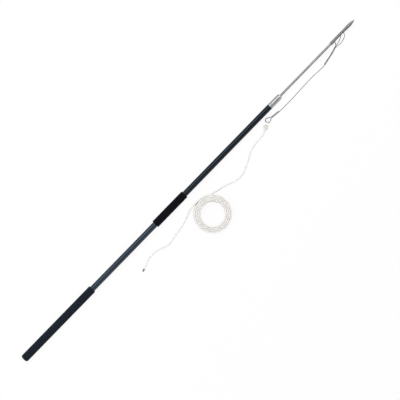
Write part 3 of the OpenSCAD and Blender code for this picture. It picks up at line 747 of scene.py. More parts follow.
# %% The tree that lays strands
def laid_cord_tree():
    """Strands wound round a route, with a core, a UV map and a material."""
    tree, given, end = new_tree(
        "Laid cord", "GeometryNodeTree",
        [("Route", "Geometry"), ("Strands", "Int", 3), ("Strand radius", "Float", 0.001),
         ("Swing", "Float", 0.001), ("Lay", "Float", 0.03), ("Step", "Float", 0.003), ("Sides", "Int", 8),
         ("Core radius", "Float", 0.001), ("With core", "Bool", True), ("Finish", "Material")],
        [("Cord", "Geometry")])
    route = out(tree, "GeometryNodeMeshToCurve", {"Mesh": given["Route"]})
    line = out(tree, "GeometryNodeResampleCurve", {"Curve": route, "Length": given["Step"]}, mode="LENGTH")
    copies = add(tree, "GeometryNodeDuplicateElements", {"Geometry": line, "Amount": given["Strands"]},
                 domain="SPLINE").outputs
    along = add(tree, "GeometryNodeSplineParameter").outputs["Length"]
    share = calc(tree, "DIVIDE", copies["Duplicate Index"], given["Strands"])
    turns = calc(tree, "ADD", share, calc(tree, "DIVIDE", along, given["Lay"]))
    angle = calc(tree, "MULTIPLY", turns, 2 * math.pi)
    normal, tangent = out(tree, "GeometryNodeInputNormal"), out(tree, "GeometryNodeInputTangent")
    aside = vectors(tree, "CROSS_PRODUCT", tangent, normal)
    outward = vectors(tree, "ADD", scaled(tree, normal, calc(tree, "COSINE", angle)),
                      scaled(tree, aside, calc(tree, "SINE", angle)))
    kept = capture(tree, copies["Geometry"], Inward=("VECTOR", scaled(tree, outward, -1.0)),
                   Along=("FLOAT", along))
    moved = out(tree, "GeometryNodeSetPosition",
                {"Geometry": kept["Geometry"], "Offset": scaled(tree, outward, given["Swing"])})
    turned_in = out(tree, "GeometryNodeSetCurveNormal", {"Curve": moved, "Normal": kept["Inward"]},
                    mode="FREE")
    way_round = add(tree, "GeometryNodeSplineParameter").outputs["Factor"]
    section = capture(tree, circle(tree, given["Sides"], given["Strand radius"]), Round=("FLOAT", way_round))
    swept = sweep(tree, turned_in, section["Geometry"])
    core = sweep(tree, line, circle(tree, given["Sides"], given["Core radius"]))
    core = out(tree, "GeometryNodeSwitch", {"Switch": given["With core"], "True": core},
               input_type="GEOMETRY")
    both = add(tree, "GeometryNodeJoinGeometry")
    for part in (core, swept):
        tree.links.new(part, both.inputs[0])
    mean = out(tree, "GeometryNodeFieldOnDomain", {0: section["Round"]}, data_type="FLOAT", domain="FACE")
    closing = calc(tree, "GREATER_THAN", calc(tree, "SUBTRACT", mean, section["Round"]), 0.25)
    way_round = calc(tree, "ADD", section["Round"], closing)
    uv = out(tree, "ShaderNodeCombineXYZ", {0: way_round, 1: kept["Along"]})
    mapped = out(tree, "GeometryNodeStoreNamedAttribute",
                 {"Geometry": both.outputs[0], "Name": "UVMap", "Value": uv},
                 data_type="FLOAT2", domain="CORNER")
    soft = out(tree, "GeometryNodeSetShadeSmooth", {"Geometry": mapped})
    feed(tree, end, Cord=finished(tree, soft, given["Finish"]))
    return tree


laid_cord = laid_cord_tree()
print("laid cord tree:", len(laid_cord.nodes), "nodes")

# %% Growing a piece from a tree
def settle(piece, modifier):
    """Keeps what a modifier makes of a piece as its plain mesh."""
    graph = bpy.context.evaluated_depsgraph_get()
    mesh = bpy.data.meshes.new_from_object(piece.evaluated_get(graph), depsgraph=graph)
    piece.modifiers.remove(modifier)
    piece.data = mesh
    return mesh


def grow(name, mesh, tree, **values):
    """Runs a geometry tree on a mesh."""
    piece = put_in_scene(name, mesh)
    rule = piece.modifiers.new("rule", "NODES")
    rule.node_group = tree
    for socket in tree.interface.items_tree:
        key = socket.name.replace(" ", "_")
        if socket.in_out == "INPUT" and key in values:
            rule[socket.identifier] = values[key]
    result = settle(piece, rule)
    result.name = name
    print(f"{name}: {len(result.polygons)} faces")
    return piece


def route_mesh(name, path):
    """A row of points joined by edges, in metres."""
    mesh = bpy.data.meshes.new(name)
    mesh.from_pydata((path * MM).tolist(), [(i, i + 1) for i in range(len(path) - 1)], [])
    return mesh


# %% Lay the rope, the leader and the keeper
rope = grow("rope", route_mesh("rope", rope_path), laid_cord, Strands=1, Strand_radius=ROPE_R * MM,
            Swing=0.0, Lay=1000.0, Step=2.5 * MM, Sides=18, With_core=False, Finish=white_rope)
leader = grow("leader_cable", route_mesh("leader", wire_path), laid_cord, Strands=6,
              Strand_radius=0.5 * MM, Swing=1.0 * MM, Lay=21 * MM, Step=1.2 * MM, Sides=6,
              Core_radius=0.55 * MM, Finish=stranded_wire)
keeper = grow("keeper_cord", route_mesh("keeper", keeper_path), laid_cord, Strands=12,
              Strand_radius=0.43 * MM, Swing=1.55 * MM, Lay=17 * MM, Step=1.0 * MM, Sides=6,
              Core_radius=1.6 * MM, Finish=dark_elastic)

# %% [markdown]
# ## Shapes from rings
# Most other pieces are turned, drawn or lofted, so they can be made from rings of points
# joined by faces. Blender's Screw modifier could turn a profile, but rings also do the
# dart, the sleeves and a real thread, and they carry the rim attribute for wear.

# %% Loft rings into a closed piece
CREASE = 35


def loft(name, rings, finish, ring_loop=False, rim=None, crease=CREASE):
    """A closed mesh through rings of points in millimetres. A ring loop joins the last ring to the first."""
    rings = np.asarray(rings, float)
    count, sides = rings.shape[:2]
    verts = rings.reshape(-1, 3).tolist()
    lines = range(count if ring_loop else count - 1)
    faces = [(i * sides + k, i * sides + (k + 1) % sides, (i + 1) % count * sides + (k + 1) % sides,
              (i + 1) % count * sides + k) for i in lines for k in range(sides)]
    if not ring_loop:
        for first, flip in ((0, False), ((count - 1) * sides, True)):
            middle = len(verts)
            verts.append(np.mean(rings[first // sides], axis=0).tolist())
            for k in range(sides):
                a, b = first + k, first + (k + 1) % sides
                faces.append((a, b, middle) if flip else (b, a, middle))
    points = np.array(verts)
    corners = points[np.array([f[:3] for f in faces])] - points.mean(axis=0)
    quads = points[np.array([(f[0], f[2], f[3]) for f in faces if len(f) == 4])] - points.mean(axis=0)
    volume = sum(np.einsum("ij,ij->", c[:, 0], np.cross(c[:, 1], c[:, 2])) for c in (corners, quads))
    if volume < 0:
        faces = [tuple(reversed(f)) for f in faces]
    mesh = bpy.data.meshes.new(name)
    mesh.from_pydata((points * MM).tolist(), [], faces)
    mesh.attributes.new("rim", "FLOAT", "POINT")
    marks = np.zeros(len(verts), np.float32)
    if rim is not None:
        marks[:count * sides] = np.repeat(np.asarray(rim, np.float32), sides)
    mesh.attributes["rim"].data.foreach_set("value", marks)
    mesh.shade_smooth()
    mesh.set_sharp_from_angle(angle=math.radians(crease))
    mesh.materials.append(finish)
    print(f"{name}: {len(faces)} faces")
    return put_in_scene(name, mesh)


# %% Turned pieces
CLOSING_R, MOUTH = 0.5, 5
ROUNDING_POINTS = 7


def eased(profile):
    """Rounds the corners of a profile of (x, r, rounding), and marks the rounded points as rim."""
    points, marks = [], []
    for i, (x, r, rounding) in enumerate(profile):
        here = np.array([x, r], float)
        if not rounding or i in (0, len(profile) - 1):
            points.append(here)
            marks.append(0.0)
            continue
        back = unit(np.array(profile[i - 1][:2], float) - here)
        on = unit(np.array(profile[i + 1][:2], float) - here)
        half = math.acos(max(-1, min(1, float(np.dot(back, on))))) / 2
        middle = here + unit(back + on) * rounding / math.sin(half)
        first, last = here + back * rounding / math.tan(half), here + on * rounding / math.tan(half)
        for t in np.linspace(0, 1, ROUNDING_POINTS):
            points.append(middle + unit(first + (last - first) * t - middle) * rounding)
            marks.append(1.0 if 0 < t < 1 else 0.0)
    return points, marks


def turned(name, profile, finish, sides=128, ring_loop=False, step=None):
    """A piece turned on the pole's axis. With a step, straight stretches are cut to about that length."""
    points, marks = eased(profile)
    if step:
        rows, row_marks = [points[0]], [marks[0]]
        for a, b, mark in zip(points, points[1:], marks[1:]):
            cuts = max(1, int(np.linalg.norm(b - a) / step))
            rows += [a + (b - a) * (j + 1) / cuts for j in range(cuts)]
            row_marks += [0.0] * (cuts - 1) + [mark]
        points, marks = rows, row_marks
    rings = [ring((x, 0, AXIS_Z), ASIDE, UP, r, sides) for x, r in points]
    return loft(name, rings, finish, ring_loop, marks)


print("a rounded corner has", ROUNDING_POINTS, "points")

# %% [markdown]
# ## The foam grips
# Each grip is a thick sleeve that was stretched over the tube. The one on the butt is
# closed and generously rounded. Real foam is never quite straight, so a second geometry
# tree presses the turned shape in by up to a quarter of a millimetre, never outwards.

# %% The tree that presses foam
def foam_skin_tree():
    """Moves a surface inwards by slow and fine noise."""
    tree, given, end = new_tree(
        "Foam skin", "GeometryNodeTree",
        [("Shape", "Geometry"), ("Depth", "Float", 0.0002), ("Seed", "Float", 1.0), ("Finish", "Material")],
        [("Skin", "Geometry")])
    place = out(tree, "GeometryNodeInputPosition")
    slow, fine = (noise(tree, place, scale, 2.0, "4D", W=given["Seed"]) for scale in (38.0, 420.0))
    inwards = calc(tree, "MULTIPLY", given["Depth"], -1.0)
    depth = calc(tree, "MULTIPLY", weigh(tree, fine, 0.45, slow, 0.55), inwards)
    push = scaled(tree, out(tree, "GeometryNodeInputNormal"), depth)
    pressed = out(tree, "GeometryNodeSetPosition", {"Geometry": given["Shape"], "Offset": push})
    feed(tree, end, Skin=finished(tree, pressed, given["Finish"]))
    return tree


foam_skin = foam_skin_tree()
print("foam skin tree:", len(foam_skin.nodes), "nodes")

# %% The grips
FOAM_BORE_R, BUTT_FOAM, BUTT_ROUND, EDGE_ROUND, BORE_ROUND = 15.05, 9, 10, 2.5, 0.6
SKIN_STEP, SKIN_DEPTH = 2.2, 0.25
butt_profile = [
    (BUTT_X, CLOSING_R, 0), (BUTT_X, GRIP_R, BUTT_ROUND), (REAR_GRIP_END, GRIP_R, EDGE_ROUND),
    (REAR_GRIP_END, FOAM_BORE_R, BORE_ROUND), (BUTT_X + BUTT_FOAM, FOAM_BORE_R, 0),
    (BUTT_X + BUTT_FOAM, CLOSING_R, 0)]
hand_profile = [
    (MID_GRIP_START + MOUTH, FOAM_BORE_R, 0), (MID_GRIP_START, FOAM_BORE_R, BORE_ROUND),
    (MID_GRIP_START, GRIP_R, EDGE_ROUND), (JOINT_X, GRIP_R, EDGE_ROUND), (JOINT_X, FOAM_BORE_R, BORE_ROUND),
    (JOINT_X - MOUTH, FOAM_BORE_R, 0)]
butt_shape = turned("butt_shape", butt_profile, butt_foam, step=SKIN_STEP)
hand_shape = turned("hand_shape", hand_profile, hand_foam, ring_loop=True, step=SKIN_STEP)
rear_foam = grow("butt_grip", butt_shape.data, foam_skin, Depth=SKIN_DEPTH * MM, Seed=3.0, Finish=butt_foam)
mid_foam = grow("hand_grip", hand_shape.data, foam_skin, Depth=SKIN_DEPTH * MM, Seed=8.0, Finish=hand_foam)
for shape in (butt_shape, hand_shape):
    bpy.data.objects.remove(shape)

# %% [markdown]
# ## Tubes, ferrule and shaft
# These are plain turned or drawn parts, and what makes them look machined is their
# edges: a knife-sharp corner catches no light. Each outer edge gets a small rounding,
# and the bores are real, so the joint looks right when the pole is unscrewed.

# %% Tubes
def tube(name, start, end, finish):
    """A drawn tube with its bore."""
    profile = [(start + MOUTH, BORE_R, 0), (start, BORE_R, 0.3), (start, POLE_R, 0.5), (end, POLE_R, 0.5),
               (end, BORE_R, 0.3), (end - MOUTH, BORE_R, 0)]
    return turned(name, profile, finish, ring_loop=True)


slate_tube = tube("slate_tube", REAR_TUBE_X, JOINT_X, slate_lacquer)
navy_tube = tube("navy_tube", SHOULDER_X, FERRULE_X, navy_lacquer)

# %% Holes
CUTTER_SIDES, COLLAPSED = 48, 0.002


def round_cutter(name, start, line, profile, finish):
    """A turned shape on a line that isn't the pole's. Its profile is (distance along the line, radius)."""
    first = squared(np.array([0.3, 0.1, 0.9]), line)
    second = np.cross(line, first)
    return loft(name, [ring(start + d * line, first, second, r, CUTTER_SIDES) for d, r in profile], finish)


def cut(piece, cutter):
    """Takes a cutter away from a piece, clears the collapsed edges that it leaves, and marks creases."""
    work = piece.modifiers.new("cut", "BOOLEAN")
    work.object, work.solver, work.operation = cutter, "EXACT", "DIFFERENCE"
    result = settle(piece, work)
    bpy.data.objects.remove(cutter)
    shape = bmesh.new()
    shape.from_mesh(result)
    bmesh.ops.dissolve_degenerate(shape, dist=COLLAPSED * MM, edges=shape.edges)
    shape.to_mesh(result)
    shape.free()
    result.shade_smooth()
    result.set_sharp_from_angle(angle=math.radians(CREASE))
    print(f"{piece.name}: cut, {len(result.polygons)} faces")


print("holes have", CUTTER_SIDES, "sides")

# %% Ferrule with its screw hole
FERRULE_TAIL, NOSE_LENGTH, NOSE_R, SEAT_R = 60, 12.5, 11.5, 6.05
SHAFT_DEPTH, SEAT_DEPTH = 110, 110.5
SCREW_BACK, SCREW_SUNK, SCREW_LEAN = 7, 0.8, math.radians(45)
SCREW_TOP = NOSE_R + (POLE_R - NOSE_R) * SCREW_BACK / NOSE_LENGTH - SCREW_SUNK
SCREW_FOOT = np.array([NOSE_X - SCREW_BACK, 0, AXIS_Z])
SCREW_WAY = np.array([0, math.sin(SCREW_LEAN), math.cos(SCREW_LEAN)])
ferrule = turned("turned_ferrule", [
    (FERRULE_X - FERRULE_TAIL, CLOSING_R, 0), (FERRULE_X - FERRULE_TAIL, INSERT_R, 0.8),
    (FERRULE_X, INSERT_R, 0), (FERRULE_X, POLE_R, 0.5), (NOSE_X - NOSE_LENGTH, POLE_R, 2.0),
    (NOSE_X, NOSE_R, 0.8), (NOSE_X, SEAT_R, 0.4), (NOSE_X - SEAT_DEPTH, SEAT_R, 0),
    (NOSE_X - SEAT_DEPTH, CLOSING_R, 0)], turned_alloy)
cut(ferrule, round_cutter("screw_hole", SCREW_FOOT, SCREW_WAY,
                          [(2, 2.55), (12.9, 2.55), (13.4, 3.1), (20, 9.7)], turned_alloy))

# %% Set screw, shaft and plug
SCREW_SIDES, HEXAGON_HALF, SHAFT_TAPER = 48, 1.25, 59.5
hexagon = HEXAGON_HALF / np.cos((around(SCREW_SIDES) + math.pi / 6) % (math.pi / 3) - math.pi / 6)
screw_profile = [(6.1, 1.9), (6.5, 2.5), (SCREW_TOP - 0.4, 2.5), (SCREW_TOP, 2.1), (SCREW_TOP, hexagon),
                 (SCREW_TOP - 2.4, hexagon), (SCREW_TOP - 2.9, 0.3)]
screw = loft("set_screw", [ring(SCREW_FOOT + d * SCREW_WAY, ALONG, np.cross(SCREW_WAY, ALONG), r, SCREW_SIDES)
                           for d, r in screw_profile], black_steel, crease=25)
shaft = turned("steel_shaft", [
    (NOSE_X - SHAFT_DEPTH, CLOSING_R, 0), (NOSE_X - SHAFT_DEPTH, SHAFT_R, 0.6), (DART_X, SHAFT_R, 0),
    (DART_X + SHAFT_TAPER, SHAFT_TIP_R, 0.8), (DART_X + SHAFT_TAPER, CLOSING_R, 0)], drawn_steel)
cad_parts["butt_plug"].data.materials.clear()
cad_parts["butt_plug"].data.materials.append(plug_plastic)

# %% [markdown]
# ## The screwed joint
# At rest the joint is closed and only a hairline shows. Unscrewed, it shows a threaded
# spigot, its pilot and the sealing ring. The thread is real geometry: the radius of each
# ring point depends on how far it is along and round, which makes a right-hand helix of
# two starts. A bump map would fail on the outline.

# %% Threads
LEAD, STARTS, THREAD_DEPTH = 5.0, 2, 0.75
THREAD_SIDES, THREAD_ROWS, THREAD_FADE = 96, 110, 1.5


def thread_height(x, angle):
    """The thread's profile from 0 at its root to 1 at its crest."""
    phase = (STARTS * (x / LEAD - angle / (2 * math.pi))) % 1
    return min(1, max(0, 2.6 * (1 - abs(2 * phase - 1)) - 0.8))


def threaded(name, origin, parts):
    """A piece from plain rings (x, r) and threads (x0, x1, root) that fade in and out."""
    rows = []
    for part in parts:
        if len(part) == 2:
            rows.append((origin + part[0], part[1]))
            continue
        x0, x1, root = origin + part[0], origin + part[1], part[2]
        for x in np.linspace(x0, x1, THREAD_ROWS):
            depth = THREAD_DEPTH * min(1, abs(x - x0) / THREAD_FADE, abs(x - x1) / THREAD_FADE)
            rows.append((x, [root + depth * thread_height(x, a) for a in around(THREAD_SIDES)]))
    rings = [ring((x, 0, AXIS_Z), ASIDE, UP, radii, THREAD_SIDES) for x, radii in rows]
    return loft(name, rings, thread_alloy, crease=50)


print("thread:", STARTS, "starts and", LEAD, "mm a turn")

# %% Spigot, socket and seal
FIT_R = 13.35
spigot = threaded("threaded_spigot", SHOULDER_X, [
    (-38, CLOSING_R), (-38, 6.2), (-37.2, 7), (-24, 7), (-23.9, 8.2), (-23, 8.25), (-22.5, -2.5, 8.25),
    (-2, 8.2), (-0.1, 8.2), (0, 8.4), (0, 12.9), (0.45, FIT_R), (50, FIT_R), (50, CLOSING_R)])
socket = threaded("threaded_socket", JOINT_X, [
    (-62, CLOSING_R), (-62, FIT_R), (-0.3, FIT_R), (0, 13.1), (0, 12.3), (-0.2, 12.1), (-2.3, 12.1),
    (-2.31, 9.6), (-2.7, 9.1), (-3, -24.5, 9.1), (-25, 9.1), (-25.05, 7.1), (-42.2, 7.1),
    (-42.2, CLOSING_R)])
SEAL_BACK, SEAL_R, SEAL_CORD_R = 1.15, 10.9, 1.1
SEAL_CORNERS = 24
seal_profile = [(JOINT_X - SEAL_BACK + SEAL_CORD_R * math.cos(a), SEAL_R + SEAL_CORD_R * math.sin(a), 0)
                for a in around(SEAL_CORNERS)]
seal = turned("sealing_ring", seal_profile, seal_rubber, sides=96, ring_loop=True)

# %% [markdown]
# ## The dart
# The dart is the piece that stays in the fish: a socket that drops off the shaft, a
# flatter side towards the wire, and a blade that is forged from a round section to a
# lens. A loft with soft stations follows that rule. Its holes are cut afterwards with
# mouths that widen, as a countersink leaves them.

# %% Soft stations for the dart
def soft_between(x, stations, column):
    """A value between stations on a curve that never overshoots them."""
    xs, ys = np.array([s[0] for s in stations]), np.array([s[column] for s in stations])
    steps, rises = np.diff(xs), np.diff(ys)
    slopes = rises / steps
    ends = np.zeros(len(xs))
    for i in range(1, len(xs) - 1):
        if slopes[i - 1] * slopes[i] > 0:
            w1, w2 = 2 * steps[i] + steps[i - 1], steps[i] + 2 * steps[i - 1]
            ends[i] = (w1 + w2) / (w1 / slopes[i - 1] + w2 / slopes[i])
    ends[-1] = slopes[-1]
    i = int(np.clip(np.searchsorted(xs, x) - 1, 0, len(steps) - 1))
    t = (x - xs[i]) / steps[i]
    return (ys[i] * (2 * t**3 - 3 * t**2 + 1) + ys[i + 1] * (3 * t**2 - 2 * t**3)
            + steps[i] * (ends[i] * (t**3 - 2 * t**2 + t) + ends[i + 1] * (t**3 - t**2)))


# Each station is its x, the half width away from the wire and on its side, half the
# thickness, and the power of the outline: 2 is round, and 1 would be a diamond
DART_LENGTH, BLADE_X, DART_SIDES, DART_STEP = DART_END - DART_X, 128, 96, 1.1
dart_stations = [
    (0, 7.7, 7.7, 7.6, 2.0), (1.2, 8.2, 8.2, 8.0, 2.0), (14, 8.2, 8.1, 7.8, 2.0), (22, 8.2, 7.6, 7.6, 2.0),
    (32, 8.1, 6.8, 7.3, 2.0), (46, 8.1, 6.4, 7.2, 2.0), (66, 8.1, 6.4, 7.1, 2.0),
    (LINE_HOLE_X, 8.1, 6.5, 7.0, 2.0),
    (100, 8.2, 7.4, 6.6, 1.95), (BLADE_X - 14, 8.4, 8.3, 5.8, 1.75), (BLADE_X, 8.6, 8.6, 4.9, 1.5),
    (BLADE_X + 13, 7.74, 7.74, 4.02, 1.4), (BLADE_X + 24, 5.85, 5.85, 3.14, 1.35),
    (BLADE_X + 33, 3.53, 3.53, 2.16, 1.4), (BLADE_X + 39, 1.46, 1.46, 1.18, 1.6),
    (DART_LENGTH, 0.3, 0.3, 0.3, 2.0)]


def dart_ring(x):
    """A section of the dart, which turns from round to lens-shaped along it."""
    away, wire_side, thick, power = (soft_between(x, dart_stations, i) for i in (1, 2, 3, 4))
    c, s = np.cos(around(DART_SIDES)), np.sin(around(DART_SIDES))
    reach = (abs(c) ** power + abs(s) ** power) ** (-1 / power)
    width = np.where(c > 0, away, wire_side)
    return np.stack([np.full(DART_SIDES, DART_X + x), width * reach * c, AXIS_Z + thick * reach * s], axis=1)


lip = np.linspace(0, 2, 7)
dart_places = np.unique(np.concatenate([lip, np.arange(2, DART_LENGTH, DART_STEP), [DART_LENGTH]]))
dart = loft("dart_head", [dart_ring(x) for x in dart_places], ground_steel, crease=40)

# %% The dart's socket and holes
cut(dart, turned("dart_socket", [(DART_X - 1, 6.1, 0), (DART_X, 6.5, 0), (DART_X + 0.5, 6.09, 0),
                                 (DART_X + 60, 4.7, 0), (DART_X + 62, CLOSING_R, 0)], ground_steel))
cut(dart, round_cutter("line_hole", HOLE_MID, HOLE_UP, [
    (-14, 8), (-7.4, 3.3), (-6.2, 2.3), (-5, 2.0), (5, 2.0), (6, 2.3), (7.2, 3.3), (14, 8)], ground_steel))
cut(dart, round_cutter("keeper_hole", KEEPER_SEAT - 0.2 * KEEPER_WAY, KEEPER_WAY,
                       [(0, 2.15), (1.3, 2.15), (2.2, 2.8), (6, 6)], ground_steel))

# %% [markdown]
# ## Crimped sleeves
# A crimped sleeve is a short oval tube that a tool has pressed in a few bands. The
# outline round the wires is the same rule for two wires or three: for any direction,
# take the wire that reaches furthest that way. The bands thin the wall at top and bottom.

# %% Sleeves
SLEEVE_SIDES, SLEEVE_ROWS, BORE_STEP = 96, 121, 40
LIP_WALL, LIP_LENGTH, PRESSED = 0.45, 0.8, 0.5
two_wires = [(-WIRE_ASIDE, 0, WIRE_SLOT), (WIRE_ASIDE, 0, WIRE_SLOT)]


def sleeve(name, place, strands, bands):
    """A sleeve round its strands, pressed in bands. The bore needs few rings, because it is straight."""
    half, length = place[3] / 2, place[3]
    outer, inner, marks = [], [], []
    for s in np.linspace(-half, half, SLEEVE_ROWS):
        edge = min(1.0, LIP_WALL + (half - abs(s)) / LIP_LENGTH)
        press = max(0.0, min(1.0, 0.5 - 1.6 * math.cos((s / length + 0.5) * bands * 2 * math.pi)))
        outer_ring, inner_ring = [], []
        for a in around(SLEEVE_SIDES):
            aside, up = math.cos(a), math.sin(a)
            w, h, r = max(strands, key=lambda c: c[0] * aside + c[1] * up + c[2])
            wall = SLEEVE_WALL * edge * (1 - PRESSED * press * up * up)
            outer_ring.append(sleeve_point(place, s, w + (r + wall) * aside, h + (r + wall) * up))
            inner_ring.append(sleeve_point(place, s, w + r * aside, h + r * up))
        outer.append(outer_ring)
        inner.append(inner_ring)
        marks.append(1.0 - edge)
    bore = inner[::-BORE_STEP]
    return loft(name, outer + bore, crimp_metal, ring_loop=True, rim=marks + [0.0] * len(bore), crease=30)


front_sleeve = sleeve("front_sleeve", FRONT_SLEEVE, two_wires + [(0, KEEPER_UP, KEEPER_SLOT)], 3)
mid_sleeve = sleeve("mid_sleeve", MID_SLEEVE, two_wires, 3)
rear_sleeve = sleeve("rear_sleeve", REAR_SLEEVE, two_wires, 4)

# %% [markdown]
# ## The thimble
# The thimble is a strip of sheet bent to a drop, with flanges that cradle the wire. A
# section swept along the drop gives it. The sweep is a rule too: round the circle, then
# straight along each leg, with the section always square to the strip.

# %% Thimble
LEG_ANGLE, LEG, LEG_ROWS, RING_ROWS = 90 - EYE_HALF_ANGLE, 18.6, 14, 61
# Half the strip's section, as distances from the eye's middle and heights over its plane
upper = [(10.15, 2.1), (10.3, 2.6), (10.75, 2.93), (11.3, 3.0), (12.8, 3.0), (13.2, 2.9), (13.35, 2.6),
         (13.32, 2.2), (13.1, 1.9), (12.5, 1.82), (11.75, 1.8), (11.45, 1.7), (11.35, 1.4)]
strip = [(r, -h) for r, h in upper[:1]] + upper + [(r, -h) for r, h in reversed(upper[1:])]
stops = [(-LEG_ANGLE, t) for t in np.linspace(LEG, 0.5, LEG_ROWS)]
stops += [(a, 0.0) for a in np.linspace(-LEG_ANGLE, -360 + LEG_ANGLE, RING_ROWS)]
stops += [(-360 + LEG_ANGLE, t) for t in np.linspace(0.5, LEG, LEG_ROWS)]


def thimble_ring(degrees, t):
    """The strip's section at an angle round the drop, and at a distance along the leg there."""
    outward = heading(degrees)
    leg_way = heading(-EYE_HALF_ANGLE if outward[1] > 0 else EYE_HALF_ANGLE)
    return [THIMBLE_MID + tipped(r * outward + t * leg_way + h * UP) for r, h in strip]


thimble = loft("thimble_eye", [thimble_ring(*stop) for stop in stops], eye_steel, crease=50)

# %% [markdown]
# ## The rope's sealed end
# The free end is held by a grey shrink sleeve with a closed nose. It shrank by hand over
# a flame, so it is a little uneven, and its mouth grips the rope.

# %% Shrink sleeve
TIP_END = np.array(tail_run[-1])
TIP_WAY = unit(TIP_END - np.array(tail_run[-2]))
SHRINK_SIDES = 64
shrink_profile = [
    (-13.4, 0.3), (-13.4, ROPE_R), (-13.5, 4.25), (-13.4, 4.5), (-12.8, 4.55), (-11, 4.5), (-8, 4.6),
    (-5, 4.55), (-3, 4.6), (-1, 4.5), (0.2, 4.1), (1.0, 3.2), (1.4, 1.8), (1.5, 0.4)]


def shrink_ring(i):
    """A ring of the sleeve, from a disc inside its mouth out and on to the nose, with folds in the skin."""
    d, r = shrink_profile[i]
    a = around(SHRINK_SIDES)
    folds = 0.07 * np.sin(3 * a + d) + 0.05 * np.sin(7 * a - 1.7 * d)
    in_skin = i > 1 and r > 3
    return ring(TIP_END + d * TIP_WAY, UP, np.cross(TIP_WAY, UP), r + folds * in_skin, SHRINK_SIDES)


shrink_rings = [shrink_ring(i) for i in range(len(shrink_profile))]
shrink = loft("rope_end_sleeve", shrink_rings, shrink_sleeve, crease=60)

# %% [markdown]
# ## What rides on what
# Each piece moves with one body of the frame and stands for the solids that it covers.
# The slot names the record's material for the piece, though nothing here reads it.

# %% Bodies, replaced solids and slots
riders = [
    (rear_foam, "rear_section", "foam", ["rear_grip"]),
    (mid_foam, "rear_section", "foam", ["mid_grip"]),
    (slate_tube, "rear_section", "slate_paint", ["rear_tube"]),
    (socket, "rear_section", "turned_alloy", ["rear_socket"]),
    (seal, "seal", "seal_rubber", ["joint_seal"]),
    (spigot, "front_section", "turned_alloy", ["front_spigot"]),
    (navy_tube, "front_section", "navy_paint", ["front_tube"]),
    (ferrule, "front_section", "turned_alloy", ["front_ferrule"]),
    (screw, "front_section", "dark_steel", ["ferrule_screw"]),
    (shaft, "front_section", "steel", ["shaft"]),
    (dart, "line", "steel", ["dart"]),
    (front_sleeve, "line", "sleeve_metal", ["wire_sleeve_front"]),
    (mid_sleeve, "line", "sleeve_metal", ["wire_sleeve_mid"]),
    (rear_sleeve, "line", "sleeve_metal", ["wire_sleeve_rear"]),
    (thimble, "line", "sleeve_metal", ["thimble"]),
    (shrink, "line", "rope_end", ["rope_tip"]),
    (keeper, "line", "elastic", ["keeper"]),
    (leader, "line", "wire", ["leader_wire"]),
    (rope, "line", "rope", ["rope_knot", "rope_lead", "rope_coil", "rope_tail"]),
]
for piece, body, slot, nodes in riders:
    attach(piece, body)
    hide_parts(*nodes)

# %% [markdown]
# ## Floor and light
# The photograph has a white ground with hardly a shadow. The floor is pale and matte,
# and to the camera and to reflections it is mixed with pure white, which leaves only a
# faint shadow. The mix is worked out from Light Path, so the light on the harpoon stays
# at a plain level.

# %% Floor
# The floor reaches so many metres each way, and lies a fifth of a millimetre low
FLOOR_HALF, FLOOR_GAP = 15, 0.2
WHITE_SHARE, MIRRORED_SHARE = 0.94, 0.5
floor_mesh = bpy.data.meshes.new("floor")
floor_corners = [(x * FLOOR_HALF, y * FLOOR_HALF, 0) for x, y in ((-1, -1), (1, -1), (1, 1), (-1, 1))]
floor_mesh.from_pydata(floor_corners, [], [(0, 1, 2, 3)])
floor = put_in_scene("floor", floor_mesh)
floor.location = (0, 0, -FLOOR_GAP * MM)
ground = bpy.data.materials.new("white_ground")
ground.use_nodes = True
tree = ground.node_tree
tree.nodes.remove(tree.nodes["Principled BSDF"])
ray = add(tree, "ShaderNodeLightPath").outputs
mirrored = calc(tree, "MULTIPLY", ray["Is Glossy Ray"], MIRRORED_SHARE)
through = ray["Is Transmission Ray"]
seen = calc(tree, "MAXIMUM", ray["Is Camera Ray"], calc(tree, "MAXIMUM", mirrored, through))
matte = out(tree, "ShaderNodeBsdfDiffuse", {"Color": (0.86, 0.86, 0.86, 1)})
white = out(tree, "ShaderNodeEmission", {"Color": (1, 1, 1, 1), "Strength": 1.0})
mixed = out(tree, "ShaderNodeMixShader", {0: calc(tree, "MULTIPLY", seen, WHITE_SHARE), 1: matte, 2: white})
feed(tree, tree.nodes["Material Output"], Surface=mixed)
floor_mesh.materials.append(ground)
print("floor of", 2 * FLOOR_HALF, "metres")

# %% [markdown]
# ## Where the streaks come from
# A round bar mirrors the room across its width: its middle shows what is overhead, and
# each side shows what stands on that side. So a streak's place tells where the lamp was.
# Both tubes have a streak from a lamp on the left, and the rear tube has a second, weaker
# band on the other side. Two long softboxes repeat that. The room fills in the rest. Its
# end walls are bright, where a round bar that runs from end to end can't mirror them,
# its ceiling is dim, and its right wall glows. Below the horizon, and to the camera
# everywhere, it is white.

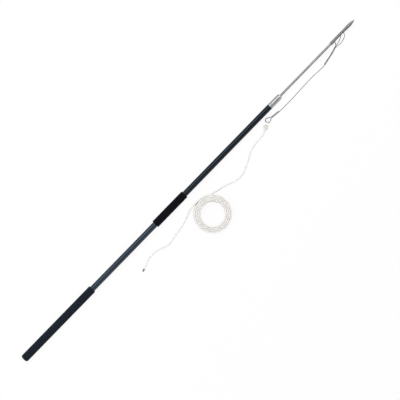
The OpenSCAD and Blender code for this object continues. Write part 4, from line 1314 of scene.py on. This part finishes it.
# %% World
CEILING, END_WALLS, RIGHT_WALL = 0.25, 1.1, 0.7
world = bpy.data.worlds.new("studio")
bpy.context.scene.world = world
world.use_nodes = True
tree = world.node_tree
way = add(tree, "ShaderNodeSeparateXYZ", {0: add(tree, "ShaderNodeTexCoord").outputs["Generated"]}).outputs
ends = calc(tree, "MULTIPLY_ADD", calc(tree, "MULTIPLY", way[0], way[0]), END_WALLS, CEILING)
room = calc(tree, "ADD", ends, remap(tree, way[1], -0.5, -1.0, 0.0, RIGHT_WALL))
below = remap(tree, way[2], 0.02, 0.0)
directly = add(tree, "ShaderNodeLightPath").outputs["Is Camera Ray"]
for white_here in (below, directly):
    room = out(tree, "ShaderNodeMix", {0: white_here, 2: room, 3: 1.0})
background = tree.nodes["Background"]
background.inputs["Color"].default_value = (1, 1, 1, 1)
feed(tree, background, Strength=room)
print("world:", world.name)

# %% Softboxes
# In metres from the pole
LAMP_DISTANCE = 2.6


def softbox(name, reach_x, reach_angle, radiance):
    """A lamp from where to where along the pole, in metres, and off the vertical, in degrees."""
    first, last = (math.radians(a) for a in reach_angle)
    middle, half = (first + last) / 2, (last - first) / 2
    data = bpy.data.lights.new(name, "AREA")
    data.shape = "RECTANGLE"
    data.size = reach_x[1] - reach_x[0]
    data.size_y = 2 * LAMP_DISTANCE * math.tan(half)
    data.energy = radiance * math.pi * data.size * data.size_y
    light = put_in_scene(name, data)
    light.location = (sum(reach_x) / 2, LAMP_DISTANCE * math.sin(middle), LAMP_DISTANCE * math.cos(middle))
    light.rotation_euler = (-middle, 0, 0)
    light.visible_camera = False
    print(f"{name}: {data.size:.1f} by {data.size_y:.1f} m, {data.energy:.0f} W")


softbox("left_softbox", (-4.0, 4.0), (18, 46), 3.0)
softbox("rear_right_softbox", (-4.0, -0.1), (-70, -12), 0.33)
bpy.context.scene.view_settings.view_transform = "Standard"

# %% [markdown]
# ## Finish

# %% Finish
print("scene finished")
